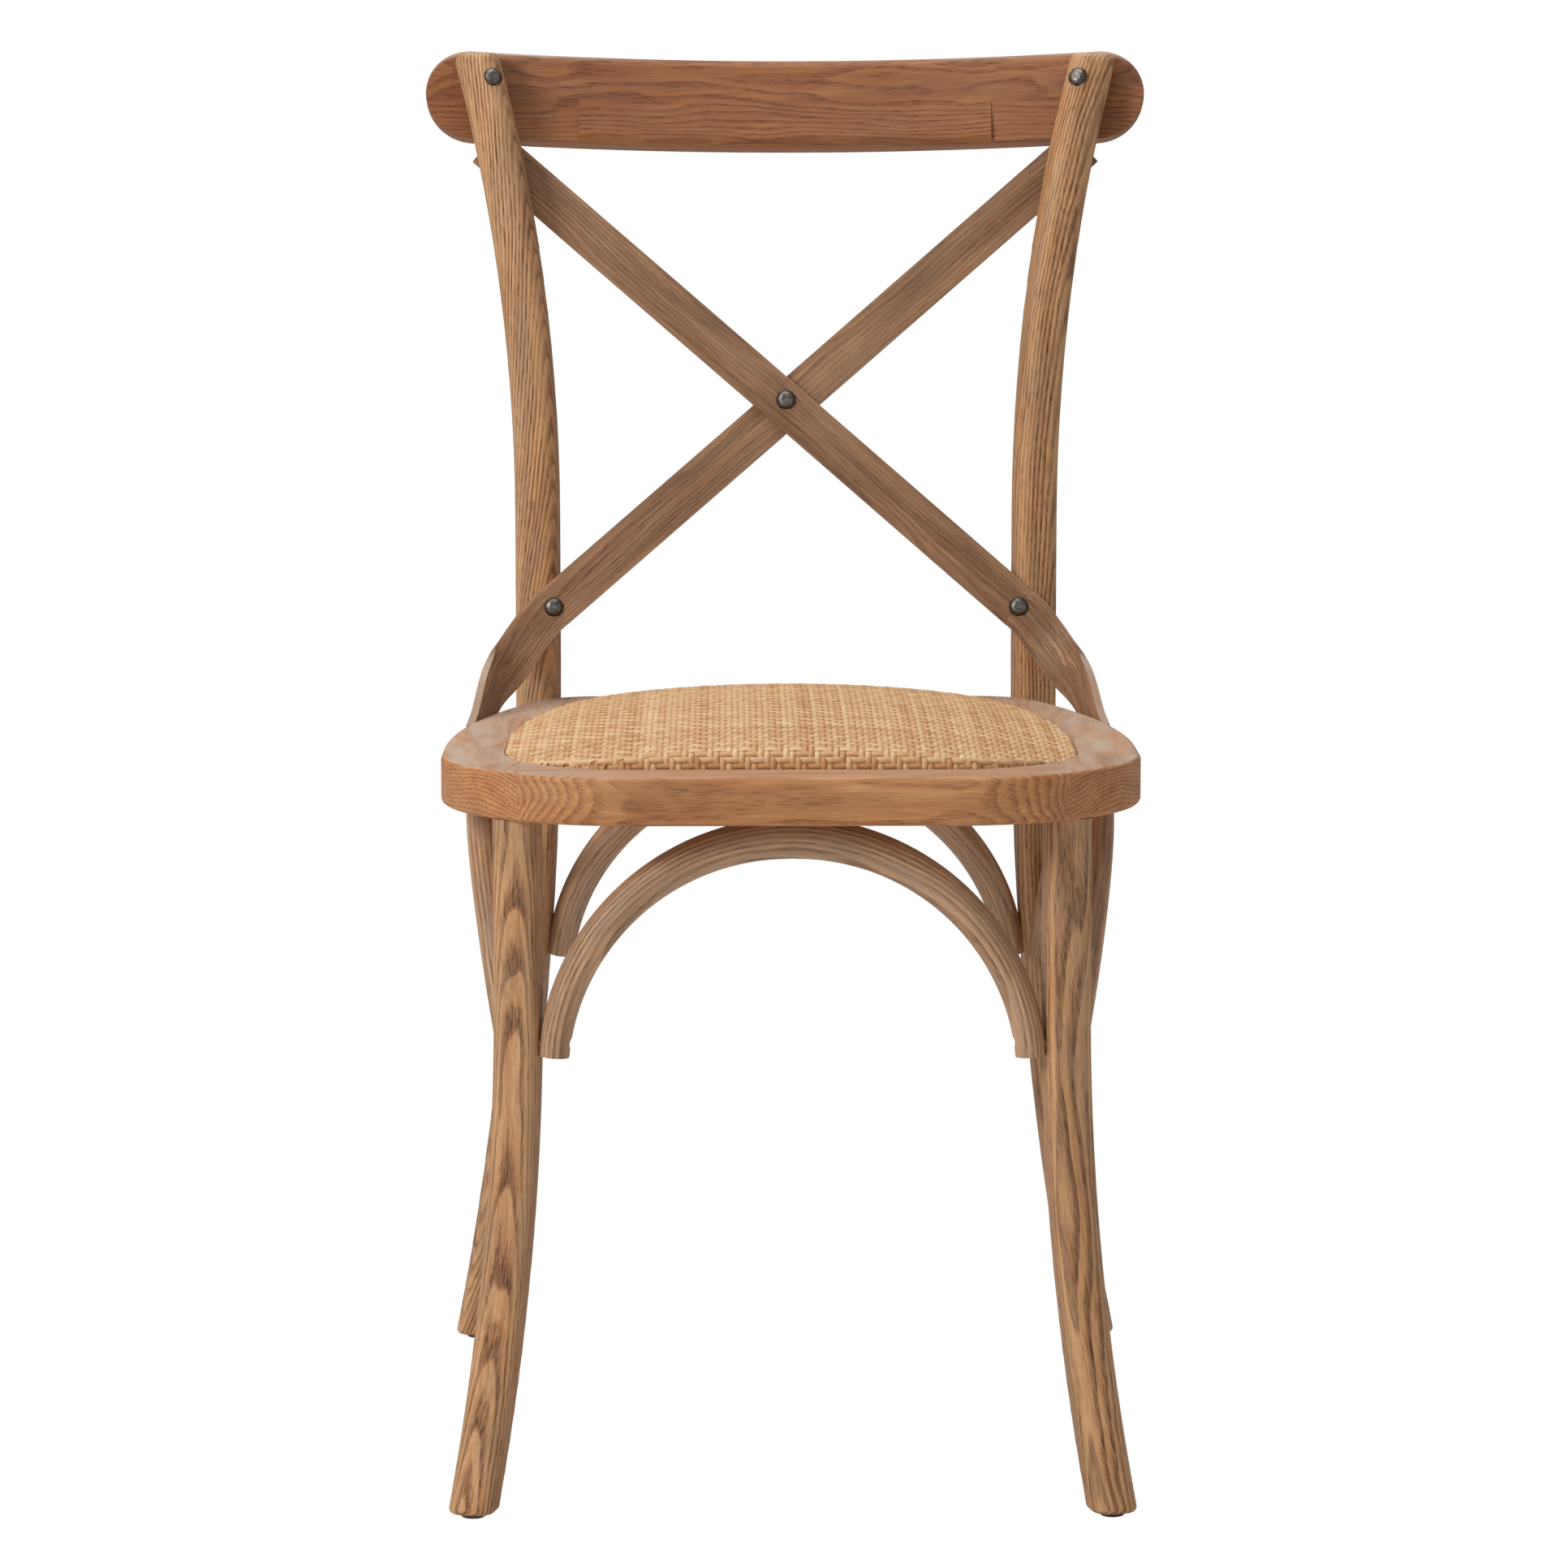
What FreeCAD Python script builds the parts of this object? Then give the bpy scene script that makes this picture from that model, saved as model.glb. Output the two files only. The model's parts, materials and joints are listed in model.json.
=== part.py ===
import FreeCAD, Part
import math
import os
import Sketcher

# Cross back dining chair in oak: a rounded seat frame of four rails with a woven seat,
# two bent rear posts, a bowed crest rail, two crossed straps, two bent front legs and
# four bent braces under the seat. Millimetres, +Z up, +X to the sitter's right as seen
# from the front, the sitter faces -Y. The origin is on the floor under the middle.

V = FreeCAD.Vector
UP = V(0, 0, 1)
doc = FreeCAD.newDocument("cross_back_chair")

# Driving dimensions
SIZES = [
    ("seat_height", 457, "floor to the top of the seat frame"),
    ("seat_thickness", 30, "thickness of the seat rails"),
    ("seat_width", 436, "widest part of the seat frame"),
    ("seat_depth", 427, "front edge to rear edge of the seat frame"),
    ("seat_front", -264, "place of the seat's front edge along Y"),
    ("front_corner_radius", 120, "front corners of the seat in plan"),
    ("side_bend_start", 159, "front edge to where the sides start to curve inwards"),
    ("side_radius", 620, "curve of the sides in plan"),
    ("rear_corner_radius", 45, "rear corners of the seat in plan"),
    ("frame_margin", 39, "visible width of the seat frame round the woven seat"),
    ("opening_rear_radius", 60, "rear corners of the opening"),
    ("ledge_width", 11, "ledge that carries the seat board"),
    ("rebate_depth", 16, "top of the frame down to the ledge"),
    ("edge_round", 3.5, "rounding of the seat frame's edges"),
    ("front_joint_inset", 51, "seat's widest place in to the joints of the front rail"),
    ("rear_joint_inset", 100, "seat's widest place in to the joints of the rear rail"),
    ("dowel_diameter", 8, "dowels in the rail joints"),
    ("dowel_length", 36, "dowels in the rail joints"),
    ("dowel_spacing", 18, "between the two dowels of a rear joint"),
    ("front_dowel_inset", 65, "seat front edge to the dowel of a front joint"),
    ("rear_dowel_inset", 16, "seat rear edge to the first dowel of a rear joint"),
    ("dowel_rise", 7, "seat underside to the axis of the dowels"),
    ("board_thickness", 9, "plywood seat board"),
    ("weave_thickness", 3, "woven cane skin"),
    ("weave_gap", 0.4, "woven seat to the wall of its rebate"),
    ("weave_rise", 1, "frame top to the rim of the woven seat"),
    ("rim_rise", 19, "height of the woven seat's rounded rim, before the crown cuts it"),
    ("rim_reach", 30, "width of the woven seat's rounded rim"),
    ("crown_rise", 18.5, "frame top to the highest place of the woven seat"),
    ("crown_setback", 214, "seat front edge to the highest place of the woven seat"),
    ("crown_side_radius", 926, "bow of the woven seat from side to side"),
    ("crown_length_radius", 2500, "bow of the woven seat from front to rear"),
    ("crown_depth", 300, "half height of the egg shape that bows the woven seat"),
    ("leg_section", 28.5, "side of the rounded square section of legs and posts"),
    ("leg_corner", 10, "corner radius of that section"),
    ("leg_turn", 12, "degrees the section is turned from facing forwards"),
    ("foot_round", 3, "rounding of the feet"),
    ("front_leg_inset", 50, "seat's widest place in to the axes of the front legs"),
    ("front_leg_setback", 44, "seat front edge to the axis of the front legs"),
    ("front_leg_straight", 112, "seat underside to where the front legs bend"),
    ("front_foot_out", 28, "sideways sweep of the front feet"),
    ("front_foot_forward", 40, "forward sweep of the front feet"),
    ("leg_tenon_diameter", 20, "round tenon on top of a front leg"),
    ("leg_tenon_length", 20, "round tenon on top of a front leg"),
    ("foot_lift", 3, "floor to the flat ends of the feet"),
    ("glide_diameter", 16, "plastic glide under a foot"),
    ("glide_bevel", 1, "glides of the feet"),
    ("glide_pin_diameter", 3, "pin of a glide"),
    ("glide_pin_length", 16, "pin of a glide in the leg"),
    ("post_inset", 50.7, "seat's widest place in to the axes of the rear posts"),
    ("post_rear_inset", 3.5, "seat rear edge to the axes of the rear posts"),
    ("post_low_rise", 23, "seat top to where a post starts to sweep down and back"),
    ("post_high_rise", 123, "seat top to where a post starts to sweep up and back"),
    ("post_foot_out", 47, "sideways sweep of the rear feet"),
    ("post_foot_back", 64, "backward sweep of the rear feet"),
    ("post_rise", 432, "seat top to the post tops"),
    ("post_top_lean", 72, "sweep of the post tops in the plane of the bend"),
    ("post_top_round", 7, "rounding of the post tops"),
    ("crest_width", 487, "end to end of the crest rail"),
    ("crest_height", 62, "height of the crest rail's face"),
    ("crest_thickness", 22, "thickness of the crest rail"),
    ("crest_radius", 1100, "bow of the crest rail, front face"),
    ("crest_drop", 37, "post tops down to the crest rail's middle line"),
    ("crest_housing", 2, "depth of the posts' seats in the crest rail"),
    ("crest_flat_start", 140, "middle to the flats that the posts rest on"),
    ("crest_flat_depth", 5, "depth of the flats at the ends of the crest rail"),
    ("crest_round", 7, "rounding of the crest rail's edges"),
    ("strap_width", 29, "width of a cross strap"),
    ("strap_thickness", 5, "thickness of a cross strap"),
    ("cross_rise", 196, "seat top to the crossing of the straps"),
    ("strap_rivet_rise", 62, "seat top to the rivets of straps and posts"),
    ("strap_rivet_inset", 11, "post axis inwards to that rivet"),
    ("strap_housing", 1, "depth of the straps' seats in the posts and rails"),
    ("strap_top_outset", 34.7, "post axis at the seat outwards to the upper ends of the straps"),
    ("strap_bend_out", 26, "rivet to the middle of the lower bend, sideways"),
    ("strap_bend_forward", 17.5, "rivet to the middle of the lower bend, forwards"),
    ("strap_bend_drop", 31, "rivet to the middle of the lower bend, downwards"),
    ("strap_landing", 63, "length of strap from the bend's end to the strap's end"),
    ("strap_landing_angle", 30, "degrees the strap falls along the seat's side"),
    ("strap_end_inset", 139.4, "seat rear edge to the strap's lower end"),
    ("strap_end_drop", 15, "seat top down to the middle of the strap's lower end"),
    ("arch_crown_diameter", 26, "front and rear brace at the crown"),
    ("arch_foot_diameter", 19, "braces at their feet"),
    ("side_arch_diameter", 23, "side brace at the crown"),
    ("arch_bite", 2, "how far the braces' feet are scribed over the legs and posts"),
    ("side_arch_radius", 130, "bends of the side braces"),
    ("front_arch_forward", 6, "leg axis to the plane of the front brace"),
    ("rear_arch_crown_inset", 17, "seat rear edge to the crown of the rear brace"),
    ("arch_foot_drop", 147, "seat underside to the braces' feet"),
    ("arch_flat", 1, "depth of the flats on the braces' crowns"),
    ("side_arch_crown_inset", 23.5, "seat's widest place in to the crown of a side brace"),
    ("side_arch_foot_outset", 5, "front leg axis outwards to the feet of a side brace"),
    ("rivet_head_diameter", 12, "domed rivets"),
    ("rivet_head_height", 3.5, "domed rivets"),
    ("rivet_shank_diameter", 4, "domed rivets"),
    ("rivet_sink", 1, "depth of a rivet head's seat"),
    ("crest_rivet_drop", 23, "post top down to the crest rivets"),
    ("crest_rivet_turn", 26, "degrees the crest rivets point inwards"),
    ("crest_rivet_length", 40, "shank of a crest rivet"),
    ("strap_rivet_length", 26, "shank of a strap rivet"),
    ("screw_diameter", 4, "wood screws"),
    ("screw_head_diameter", 8, "wood screws"),
    ("screw_head_height", 3, "wood screws"),
    ("arch_screw_length", 30, "screws of the braces' feet"),
    ("arch_screw_rise", 8, "end of a brace's foot to its screw"),
    ("crown_screw_length", 32, "screws of the braces' crowns"),
    ("side_screw_rise", 20, "end of a side brace's foot to its screw"),
    ("cross_rivet_rise", 3, "crossing of the straps to their rivet"),
    ("crest_flat_lean", 6, "slant of the flats of the crest rail"),
    ("strap_grip", 26, "half length of each strap's straight bed at the crossing"),
    ("screw_sink", 2, "depth of a screw head in a brace"),
    ("board_screw_length", 20, "screws of the seat board"),
    ("strap_screw_length", 18, "screws of the strap ends"),
    ("board_screw_front", 90, "middle to the front screws of the seat board"),
    ("board_screw_rear", 70, "middle to the rear screws of the seat board"),
    ("board_screw_setback", 4.5, "ledge edge to the screws of the seat board"),
    ("strap_screw_inset", 14, "strap's lower end to its screw"),
    ("strap_top_screw_inset", 20, "strap's upper end to its screw"),
    ("bolt_diameter", 6, "bolts of the rear posts"),
    ("bolt_head_diameter", 13, "bolts of the rear posts"),
    ("bolt_head_height", 4, "bolts of the rear posts"),
    ("nut_diameter", 10, "barrel nuts of those bolts"),
    ("nut_length", 18, "barrel nuts of those bolts"),
    ("nut_depth", 17, "seat's rear corner to the axis of its barrel nut"),
    ("hole_clearance", 0.1, "gap round shanks, dowels and nuts"),
]
sheet = doc.addObject("Spreadsheet::Sheet", "Sizes")
for row, (alias, value, note) in enumerate(SIZES, start=1):
    sheet.set(f"A{row}", str(value))
    sheet.setAlias(f"A{row}", alias)
    sheet.set(f"B{row}", note)
doc.recompute()
size = {alias: float(getattr(sheet, alias)) for alias, value, note in SIZES}


# Small helpers for documents, sketches and booleans

def amount(expression):
    """Value of a sum of sheet values and their multiples, written as in bind."""
    total = 0.0
    for term in expression.replace("-", "+ -").split("+"):
        term = term.strip()
        if not term:
            continue
        product = -1.0 if term.startswith("-") else 1.0
        for factor in term.lstrip("- ").split("*"):
            factor = factor.strip()
            product *= size[factor.strip("<>")] if factor.startswith("<") else float(factor)
        total += product
    return total


def bind(thing, prop, expression):
    """Tie a property to the sheet: bare words in the expression are sheet values."""
    for alias in sorted(size, key=len, reverse=True):
        expression = expression.replace(f"<{alias}>", f"Sizes.{alias}")
    thing.setExpression(prop, expression)


def plane(body, role):
    """One of the body's own origin planes."""
    return next(f for f in body.Origin.OriginFeatures if f.Role == role)


def new_body(name, placement=None):
    body = doc.addObject("PartDesign::Body", name)
    if placement is not None:
        body.Placement = placement
    return body


def new_sketch(body, name, role="XY_Plane", offset=None):
    sketch = body.newObject("Sketcher::SketchObject", name)
    sketch.AttachmentSupport = [(plane(body, role), "")]
    sketch.MapMode = "FlatFace"
    if offset is not None:
        sketch.AttachmentOffset = offset
    return sketch


def limit(sketch, name, expression, kind, *where):
    """A named constraint whose value follows the sheet."""
    index = sketch.addConstraint(Sketcher.Constraint(kind, *where))
    sketch.renameConstraint(index, name)
    bind(sketch, "Constraints." + name, expression)


def lift(height):
    """A sketch offset straight up from the body's XY plane."""
    return FreeCAD.Placement(V(0, 0, height), FreeCAD.Rotation())


def circle_sketch(body, name, diameter, role="XY_Plane", offset=None):
    """A circle about the sketch's origin. diameter is a sheet value's name."""
    sketch = new_sketch(body, name, role, offset)
    sketch.addGeometry(Part.Circle(V(0, 0, 0), UP, size[diameter] / 2))
    sketch.addConstraint(Sketcher.Constraint("Coincident", 0, 3, -1, 1))
    limit(sketch, "diameter", f"<{diameter}>", "Diameter", 0, size[diameter])
    return sketch


def rectangle_sketch(body, name, width, height, offset=None):
    """A rectangle about the sketch's origin. width and height are expressions."""
    sketch = new_sketch(body, name, "XY_Plane", offset)
    x = amount(width) / 2
    y = amount(height) / 2
    corners = [V(-x, -y, 0), V(x, -y, 0), V(x, y, 0), V(-x, y, 0)]
    for i in range(4):
        sketch.addGeometry(Part.LineSegment(corners[i], corners[(i + 1) % 4]))
    for i in range(4):
        sketch.addConstraint(Sketcher.Constraint("Coincident", i, 2, (i + 1) % 4, 1))
        sketch.addConstraint(Sketcher.Constraint("Horizontal" if i % 2 == 0 else "Vertical", i))
    sketch.addConstraint(Sketcher.Constraint("Symmetric", 0, 1, 1, 2, -1, 1))
    limit(sketch, "width", width, "DistanceX", 0, 1, 0, 2, 2 * x)
    limit(sketch, "height", height, "DistanceY", 1, 1, 1, 2, 2 * y)
    return sketch


def section_sketch(body, name, offset):
    """The rounded square section of legs and posts, about the sketch's origin."""
    sketch = new_sketch(body, name, "XY_Plane", offset)
    half = size["leg_section"] / 2
    radius = size["leg_corner"]
    flat = half - radius
    for k in range(4):
        turn = FreeCAD.Rotation(UP, 90 * k)
        a = turn.multVec(V(half, -flat, 0))
        b = turn.multVec(V(half, flat, 0))
        centre = turn.multVec(V(flat, flat, 0))
        sketch.addGeometry(Part.LineSegment(a, b))
        arc = Part.Circle(centre, UP, radius)
        start = math.radians(90 * k)
        sketch.addGeometry(Part.ArcOfCircle(arc, start, start + math.pi / 2))
    for k in range(4):
        line = 2 * k
        arc = 2 * k + 1
        sketch.addConstraint(Sketcher.Constraint("Tangent", line, 2, arc, 1))
        sketch.addConstraint(Sketcher.Constraint("Tangent", arc, 2, (line + 2) % 8, 1))
        sketch.addConstraint(Sketcher.Constraint("Vertical" if k % 2 == 0 else "Horizontal", line))
    for k in range(1, 4):
        sketch.addConstraint(Sketcher.Constraint("Equal", 1, 2 * k + 1))
    sketch.addConstraint(Sketcher.Constraint("Symmetric", 0, 1, 4, 1, -1, 1))
    limit(sketch, "corner", "<leg_corner>", "Radius", 1, radius)
    limit(sketch, "wide", "<leg_section> - 2 * <leg_corner>", "DistanceY", 0, 1, 0, 2, 2 * flat)
    limit(sketch, "deep", "<leg_section> - 2 * <leg_corner>", "DistanceX", 2, 2, 2, 1, 2 * flat)
    return sketch


def pipe(body, name, profile, spine, sections=()):
    feature = body.newObject("PartDesign::AdditivePipe", name)
    feature.Profile = profile
    feature.Spine = spine
    if sections:
        feature.Sections = list(sections)
        feature.Transformation = "Multisection"
    return feature


def round_edges(body, name, base, radius, chosen):
    """Fillet those edges of the base feature that the test picks out."""
    doc.recompute()
    names = [f"Edge{i}" for i, edge in enumerate(base.Shape.Edges, start=1) if chosen(edge)]
    fillet = body.newObject("PartDesign::Fillet", name)
    fillet.Base = (base, names)
    bind(fillet, "Radius", f"<{radius}>")
    return fillet


def level(edge, height, slack=0.01):
    """True for an edge that lies wholly at this height of its own frame."""
    box = edge.BoundBox
    return abs(box.ZMin - height) < slack and abs(box.ZMax - height) < slack


def along(point, direction):
    """A placement at a point with its Z axis along a direction."""
    return FreeCAD.Placement(point, FreeCAD.Rotation(UP, direction))


def frame(point, x_axis, z_axis):
    """A placement at a point, Z along z_axis and X as near to x_axis as can be."""
    return FreeCAD.Placement(point, FreeCAD.Rotation(x_axis, V(0, 0, 0), z_axis, "ZXY"))


def cylinder(name, diameter, length, placement):
    """diameter and length are expressions of sheet values."""
    thing = doc.addObject("Part::Cylinder", name)
    bind(thing, "Radius", f"({diameter}) / 2")
    bind(thing, "Height", length)
    thing.Placement = placement
    return thing


def cut(label, base, *tools):
    """The base less its tools, one after the other."""
    for k, tool in enumerate(tools, start=1):
        thing = doc.addObject("Part::Cut", label if k == len(tools) else f"{label}_cut_{k}")
        thing.Base = base
        thing.Tool = tool
        base = thing
    return base


def group(label, *things):
    """Several solids in one object."""
    thing = doc.addObject("Part::Compound", label)
    thing.Links = list(things)
    return thing


def fuse(label, *things):
    thing = doc.addObject("Part::MultiFuse", label)
    thing.Shapes = list(things)
    return thing


# Places that several pieces share, worked out from the sheet

SIDES = ((-1, "left"), (1, "right"))
half_seat = size["seat_width"] / 2
seat_top = size["seat_height"]
seat_under = seat_top - size["seat_thickness"]
ledge_top = seat_top - size["rebate_depth"]
seat_front = size["seat_front"]
seat_rear = seat_front + size["seat_depth"]
side_bend_y = seat_front + size["side_bend_start"]
side_centre_x = half_seat - size["side_radius"]
leg_half = size["leg_section"] / 2
front_leg_x = half_seat - size["front_leg_inset"]
front_leg_y = seat_front + size["front_leg_setback"]
front_bend_z = seat_under - size["front_leg_straight"]
front_sweep = math.hypot(size["front_foot_out"], size["front_foot_forward"])
post_x = half_seat - size["post_inset"]
post_y = seat_rear - size["post_rear_inset"]
post_sweep = math.hypot(size["post_foot_out"], size["post_foot_back"])
post_sweep_angle = math.degrees(math.atan2(size["post_foot_back"], size["post_foot_out"]))
post_low_bend = seat_top + size["post_low_rise"]
post_high_bend = seat_top + size["post_high_rise"]
post_top = seat_top + size["post_rise"]


def sweep_radius(reach, height):
    """Radius of an arc that leaves the vertical and ends reach aside after this height."""
    return (height * height + reach * reach) / (2 * reach)


low_height = post_low_bend - size["foot_lift"]
low_radius = sweep_radius(post_sweep, low_height)
high_height = post_top - post_high_bend
high_radius = sweep_radius(size["post_top_lean"], high_height)
front_height = front_bend_z - size["foot_lift"]
front_radius = sweep_radius(front_sweep, front_height)


def post_offset(z):
    """How far the axis of a post has swept at a height, in the plane of its bend."""
    if z < post_low_bend:
        return low_radius - math.sqrt(low_radius ** 2 - (post_low_bend - z) ** 2)
    if z > post_high_bend:
        return high_radius - math.sqrt(high_radius ** 2 - (z - post_high_bend) ** 2)
    return 0.0


def post_axis(z, side=1):
    """Point of a post's axis at a height. side is 1 on the right and -1 on the left."""
    reach = post_offset(z)
    angle = math.radians(post_sweep_angle)
    return V(side * (post_x + reach * math.cos(angle)), post_y + reach * math.sin(angle), z)


def seat_half_width(y):
    """Half width of the seat frame at a place on its curved sides."""
    return side_centre_x + math.sqrt(size["side_radius"] ** 2 - (y - side_bend_y) ** 2)


def section_reach(angle):
    """Axis of a leg or post to its surface, at this many degrees from a flat's middle."""
    turned = math.radians(angle)
    flat = leg_half - size["leg_corner"]
    return flat * (abs(math.cos(turned)) + abs(math.sin(turned))) + size["leg_corner"]


leg_reach = section_reach(size["leg_turn"])


# Outline of the seat in plan, drawn inwards by an inset

def mirror_curve(curve):
    """A line or arc on the other side of the chair, run in the same sense round it."""
    if isinstance(curve, Part.LineSegment):
        a = curve.StartPoint
        b = curve.EndPoint
        return Part.LineSegment(V(-b.x, b.y, b.z), V(-a.x, a.y, a.z))
    centre = V(-curve.Center.x, curve.Center.y, 0)
    circle = Part.Circle(centre, UP, curve.Radius)
    return Part.ArcOfCircle(circle, math.pi - curve.LastParameter, math.pi - curve.FirstParameter)


def rear_corner(inset, rear_radius):
    """Centre of the rounding between a side and the rear edge."""
    y = seat_rear - inset - rear_radius
    reach = size["side_radius"] - inset - rear_radius
    return V(side_centre_x + math.sqrt(reach ** 2 - (y - side_bend_y) ** 2), y, 0)


def seat_outline(inset, rear_radius):
    """Edges of the closed outline: lines and arcs, tangent all the way round."""
    corner = size["front_corner_radius"]
    corner_centre = V(half_seat - corner, seat_front + corner, 0)
    front_r = corner - inset
    side_r = size["side_radius"] - inset
    side_centre = V(side_centre_x, side_bend_y, 0)
    rear_centre = rear_corner(inset, rear_radius)
    turn = math.atan2(rear_centre.y - side_centre.y, rear_centre.x - side_centre.x)
    x_wide = half_seat - inset
    y_front = seat_front + inset
    right = [
        Part.ArcOfCircle(Part.Circle(corner_centre, UP, front_r), -math.pi / 2, 0),
        Part.LineSegment(V(x_wide, corner_centre.y, 0), V(x_wide, side_centre.y, 0)),
        Part.ArcOfCircle(Part.Circle(side_centre, UP, side_r), 0, turn),
        Part.ArcOfCircle(Part.Circle(rear_centre, UP, rear_radius), turn, math.pi / 2),
    ]
    edges = [Part.LineSegment(V(-corner_centre.x, y_front, 0), V(corner_centre.x, y_front, 0))]
    edges += right
    y_rear = seat_rear - inset
    edges.append(Part.LineSegment(V(rear_centre.x, y_rear, 0), V(-rear_centre.x, y_rear, 0)))
    for curve in reversed(right):
        edges.append(mirror_curve(curve))
    return edges


def outline_sketch(body, name, height, inset, rear_radius):
    """The seat outline as a sketch at a height, its radii tied to the sheet.

    inset and rear_radius are expressions of sheet values."""
    sketch = new_sketch(body, name, "XY_Plane", lift(height))
    inset_value = amount(inset)
    edges = seat_outline(inset_value, amount(rear_radius))
    for edge in edges:
        sketch.addGeometry(edge)
    count = len(edges)
    for i in range(count):
        sketch.addConstraint(Sketcher.Constraint("Tangent", i, 2, (i + 1) % count, 1))
    sketch.addConstraint(Sketcher.Constraint("Symmetric", 0, 1, 0, 2, -2))
    sketch.addConstraint(Sketcher.Constraint("Vertical", 2))
    sketch.addConstraint(Sketcher.Constraint("Vertical", 8))
    sketch.addConstraint(Sketcher.Constraint("Horizontal", 5))
    for a, b in ((1, 9), (2, 8), (3, 7), (4, 6)):
        sketch.addConstraint(Sketcher.Constraint("Equal", a, b))
    limit(sketch, "corner", f"<front_corner_radius> - ({inset})", "Radius", 1, edges[1].Radius)
    limit(sketch, "side", f"<side_radius> - ({inset})", "Radius", 3, edges[3].Radius)
    limit(sketch, "rear_corner", rear_radius, "Radius", 4, edges[4].Radius)
    limit(sketch, "front", f"<seat_front> + ({inset})", "DistanceY", -1, 1, 0, 1, seat_front + inset_value)
    limit(sketch, "wide", f"<seat_width> - 2 * ({inset})", "DistanceX", 8, 1, 2, 1,
          2 * (half_seat - inset_value))
    limit(sketch, "bend", f"<side_bend_start> - ({inset})", "DistanceY", 0, 1, 2, 2,
          size["side_bend_start"] - inset_value)
    limit(sketch, "deep", f"<seat_depth> - 2 * ({inset})", "DistanceY", 0, 1, 5, 1,
          size["seat_depth"] - 2 * inset_value)
    return sketch


# Seat frame: one outline, hollowed and rounded, then parted into four rails

def make_ring():
    ring = new_body("seat_ring")
    blank = outline_sketch(ring, "ring_outline", seat_under, "0", "<rear_corner_radius>")
    pad = ring.newObject("PartDesign::Pad", "ring_pad")
    pad.Profile = blank
    bind(pad, "Length", "<seat_thickness>")
    inner = "<frame_margin> + <ledge_width>"
    hole = outline_sketch(ring, "ring_hole", seat_top, inner, "<opening_rear_radius> - <ledge_width>")
    opening = ring.newObject("PartDesign::Pocket", "ring_opening")
    opening.Profile = hole
    bind(opening, "Length", "<seat_thickness>")
    step = outline_sketch(ring, "ring_step", seat_top, "<frame_margin>", "<opening_rear_radius>")
    rebate = ring.newObject("PartDesign::Pocket", "ring_rebate")
    rebate.Profile = step
    bind(rebate, "Length", "<rebate_depth>")
    outer = Part.Wire([c.toShape() for c in seat_outline(0, size["rear_corner_radius"])])
    rims = [outer.translated(V(0, 0, z)) for z in (seat_under, seat_top)]

    def on_rim(edge):
        flat = level(edge, seat_under) or level(edge, seat_top)
        return flat and min(rim.distToShape(edge)[0] for rim in rims) < 0.01

    round_edges(ring, "ring_round", rebate, "edge_round", on_rim)
    return ring


ring = make_ring()


def block(name, length, width, corner):
    """A box as high as the seat frame. length and width are expressions."""
    box = doc.addObject("Part::Box", name)
    bind(box, "Length", length)
    bind(box, "Width", width)
    bind(box, "Height", "<seat_thickness>")
    box.Placement = FreeCAD.Placement(corner, FreeCAD.Rotation())
    return box


def common(label, base, tool):
    thing = doc.addObject("Part::Common", label)
    thing.Base = base
    thing.Tool = tool
    return thing


front_joint_x = half_seat - size["front_joint_inset"]
rear_joint_x = half_seat - size["rear_joint_inset"]
front_block = block("front_rail_block", "<seat_width> - 2 * <front_joint_inset>", "<front_corner_radius>",
                    V(-front_joint_x, seat_front, seat_under))
rear_block = block("rear_rail_block", "<seat_width> - 2 * <rear_joint_inset>", "<seat_depth> / 2",
                   V(-rear_joint_x, seat_front + size["seat_depth"] / 2, seat_under))
left_block = block("left_rail_block", "<seat_width> / 2", "<seat_depth>",
                   V(-half_seat, seat_front, seat_under))
right_block = block("right_rail_block", "<seat_width> / 2", "<seat_depth>",
                    V(0, seat_front, seat_under))
rail_blanks = {
    "front": common("front_rail_blank", ring, front_block),
    "rear": common("rear_rail_blank", ring, rear_block),
    "left": cut("left_rail_blank", common("left_rail_half", ring, left_block), front_block, rear_block),
    "right": cut("right_rail_blank", common("right_rail_half", ring, right_block), front_block, rear_block),
}


# Dowels of the four joints of the seat frame

rail_cuts = {"front": [], "rear": [], "left": [], "right": []}


def make_dowels():
    dowels = []
    rear_y = seat_rear - size["rear_dowel_inset"]
    joints = (("front", front_joint_x, (seat_front + size["front_dowel_inset"],)),
              ("rear", rear_joint_x, (rear_y, rear_y - size["dowel_spacing"])))
    for rail, joint_x, places in joints:
        for side, word in SIDES:
            for k, y in enumerate(places, start=1):
                x = side * joint_x - size["dowel_length"] / 2
                place = along(V(x, y, seat_under + size["dowel_rise"]), V(1, 0, 0))
                name = f"{rail}_{word}_dowel_{k}"
                dowels.append(cylinder(name, "<dowel_diameter>", "<dowel_length>", place))
                hole = cylinder(name + "_hole", "<dowel_diameter> + 2 * <hole_clearance>",
                                "<dowel_length>", place)
                rail_cuts[rail].append(hole)
                rail_cuts[word].append(hole)
    return group("rail_dowels", *dowels)


rail_dowels = make_dowels()


# Rounded square legs and posts, swept along lines and arcs

def arc_expression(reach, height):
    """Radius of an arc that leaves the vertical, from expressions of reach and height."""
    return f"(({height}) ^ 2 + ({reach}) ^ 2) / (2 * ({reach}))"


def section_offset(point, lean, turn):
    """Sketch offset: at a point of the bend plane, leaned with the path, section turned."""
    tilt = FreeCAD.Rotation(V(0, 1, 0), lean)
    return FreeCAD.Placement(point, tilt.multiply(FreeCAD.Rotation(UP, turn)))


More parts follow.
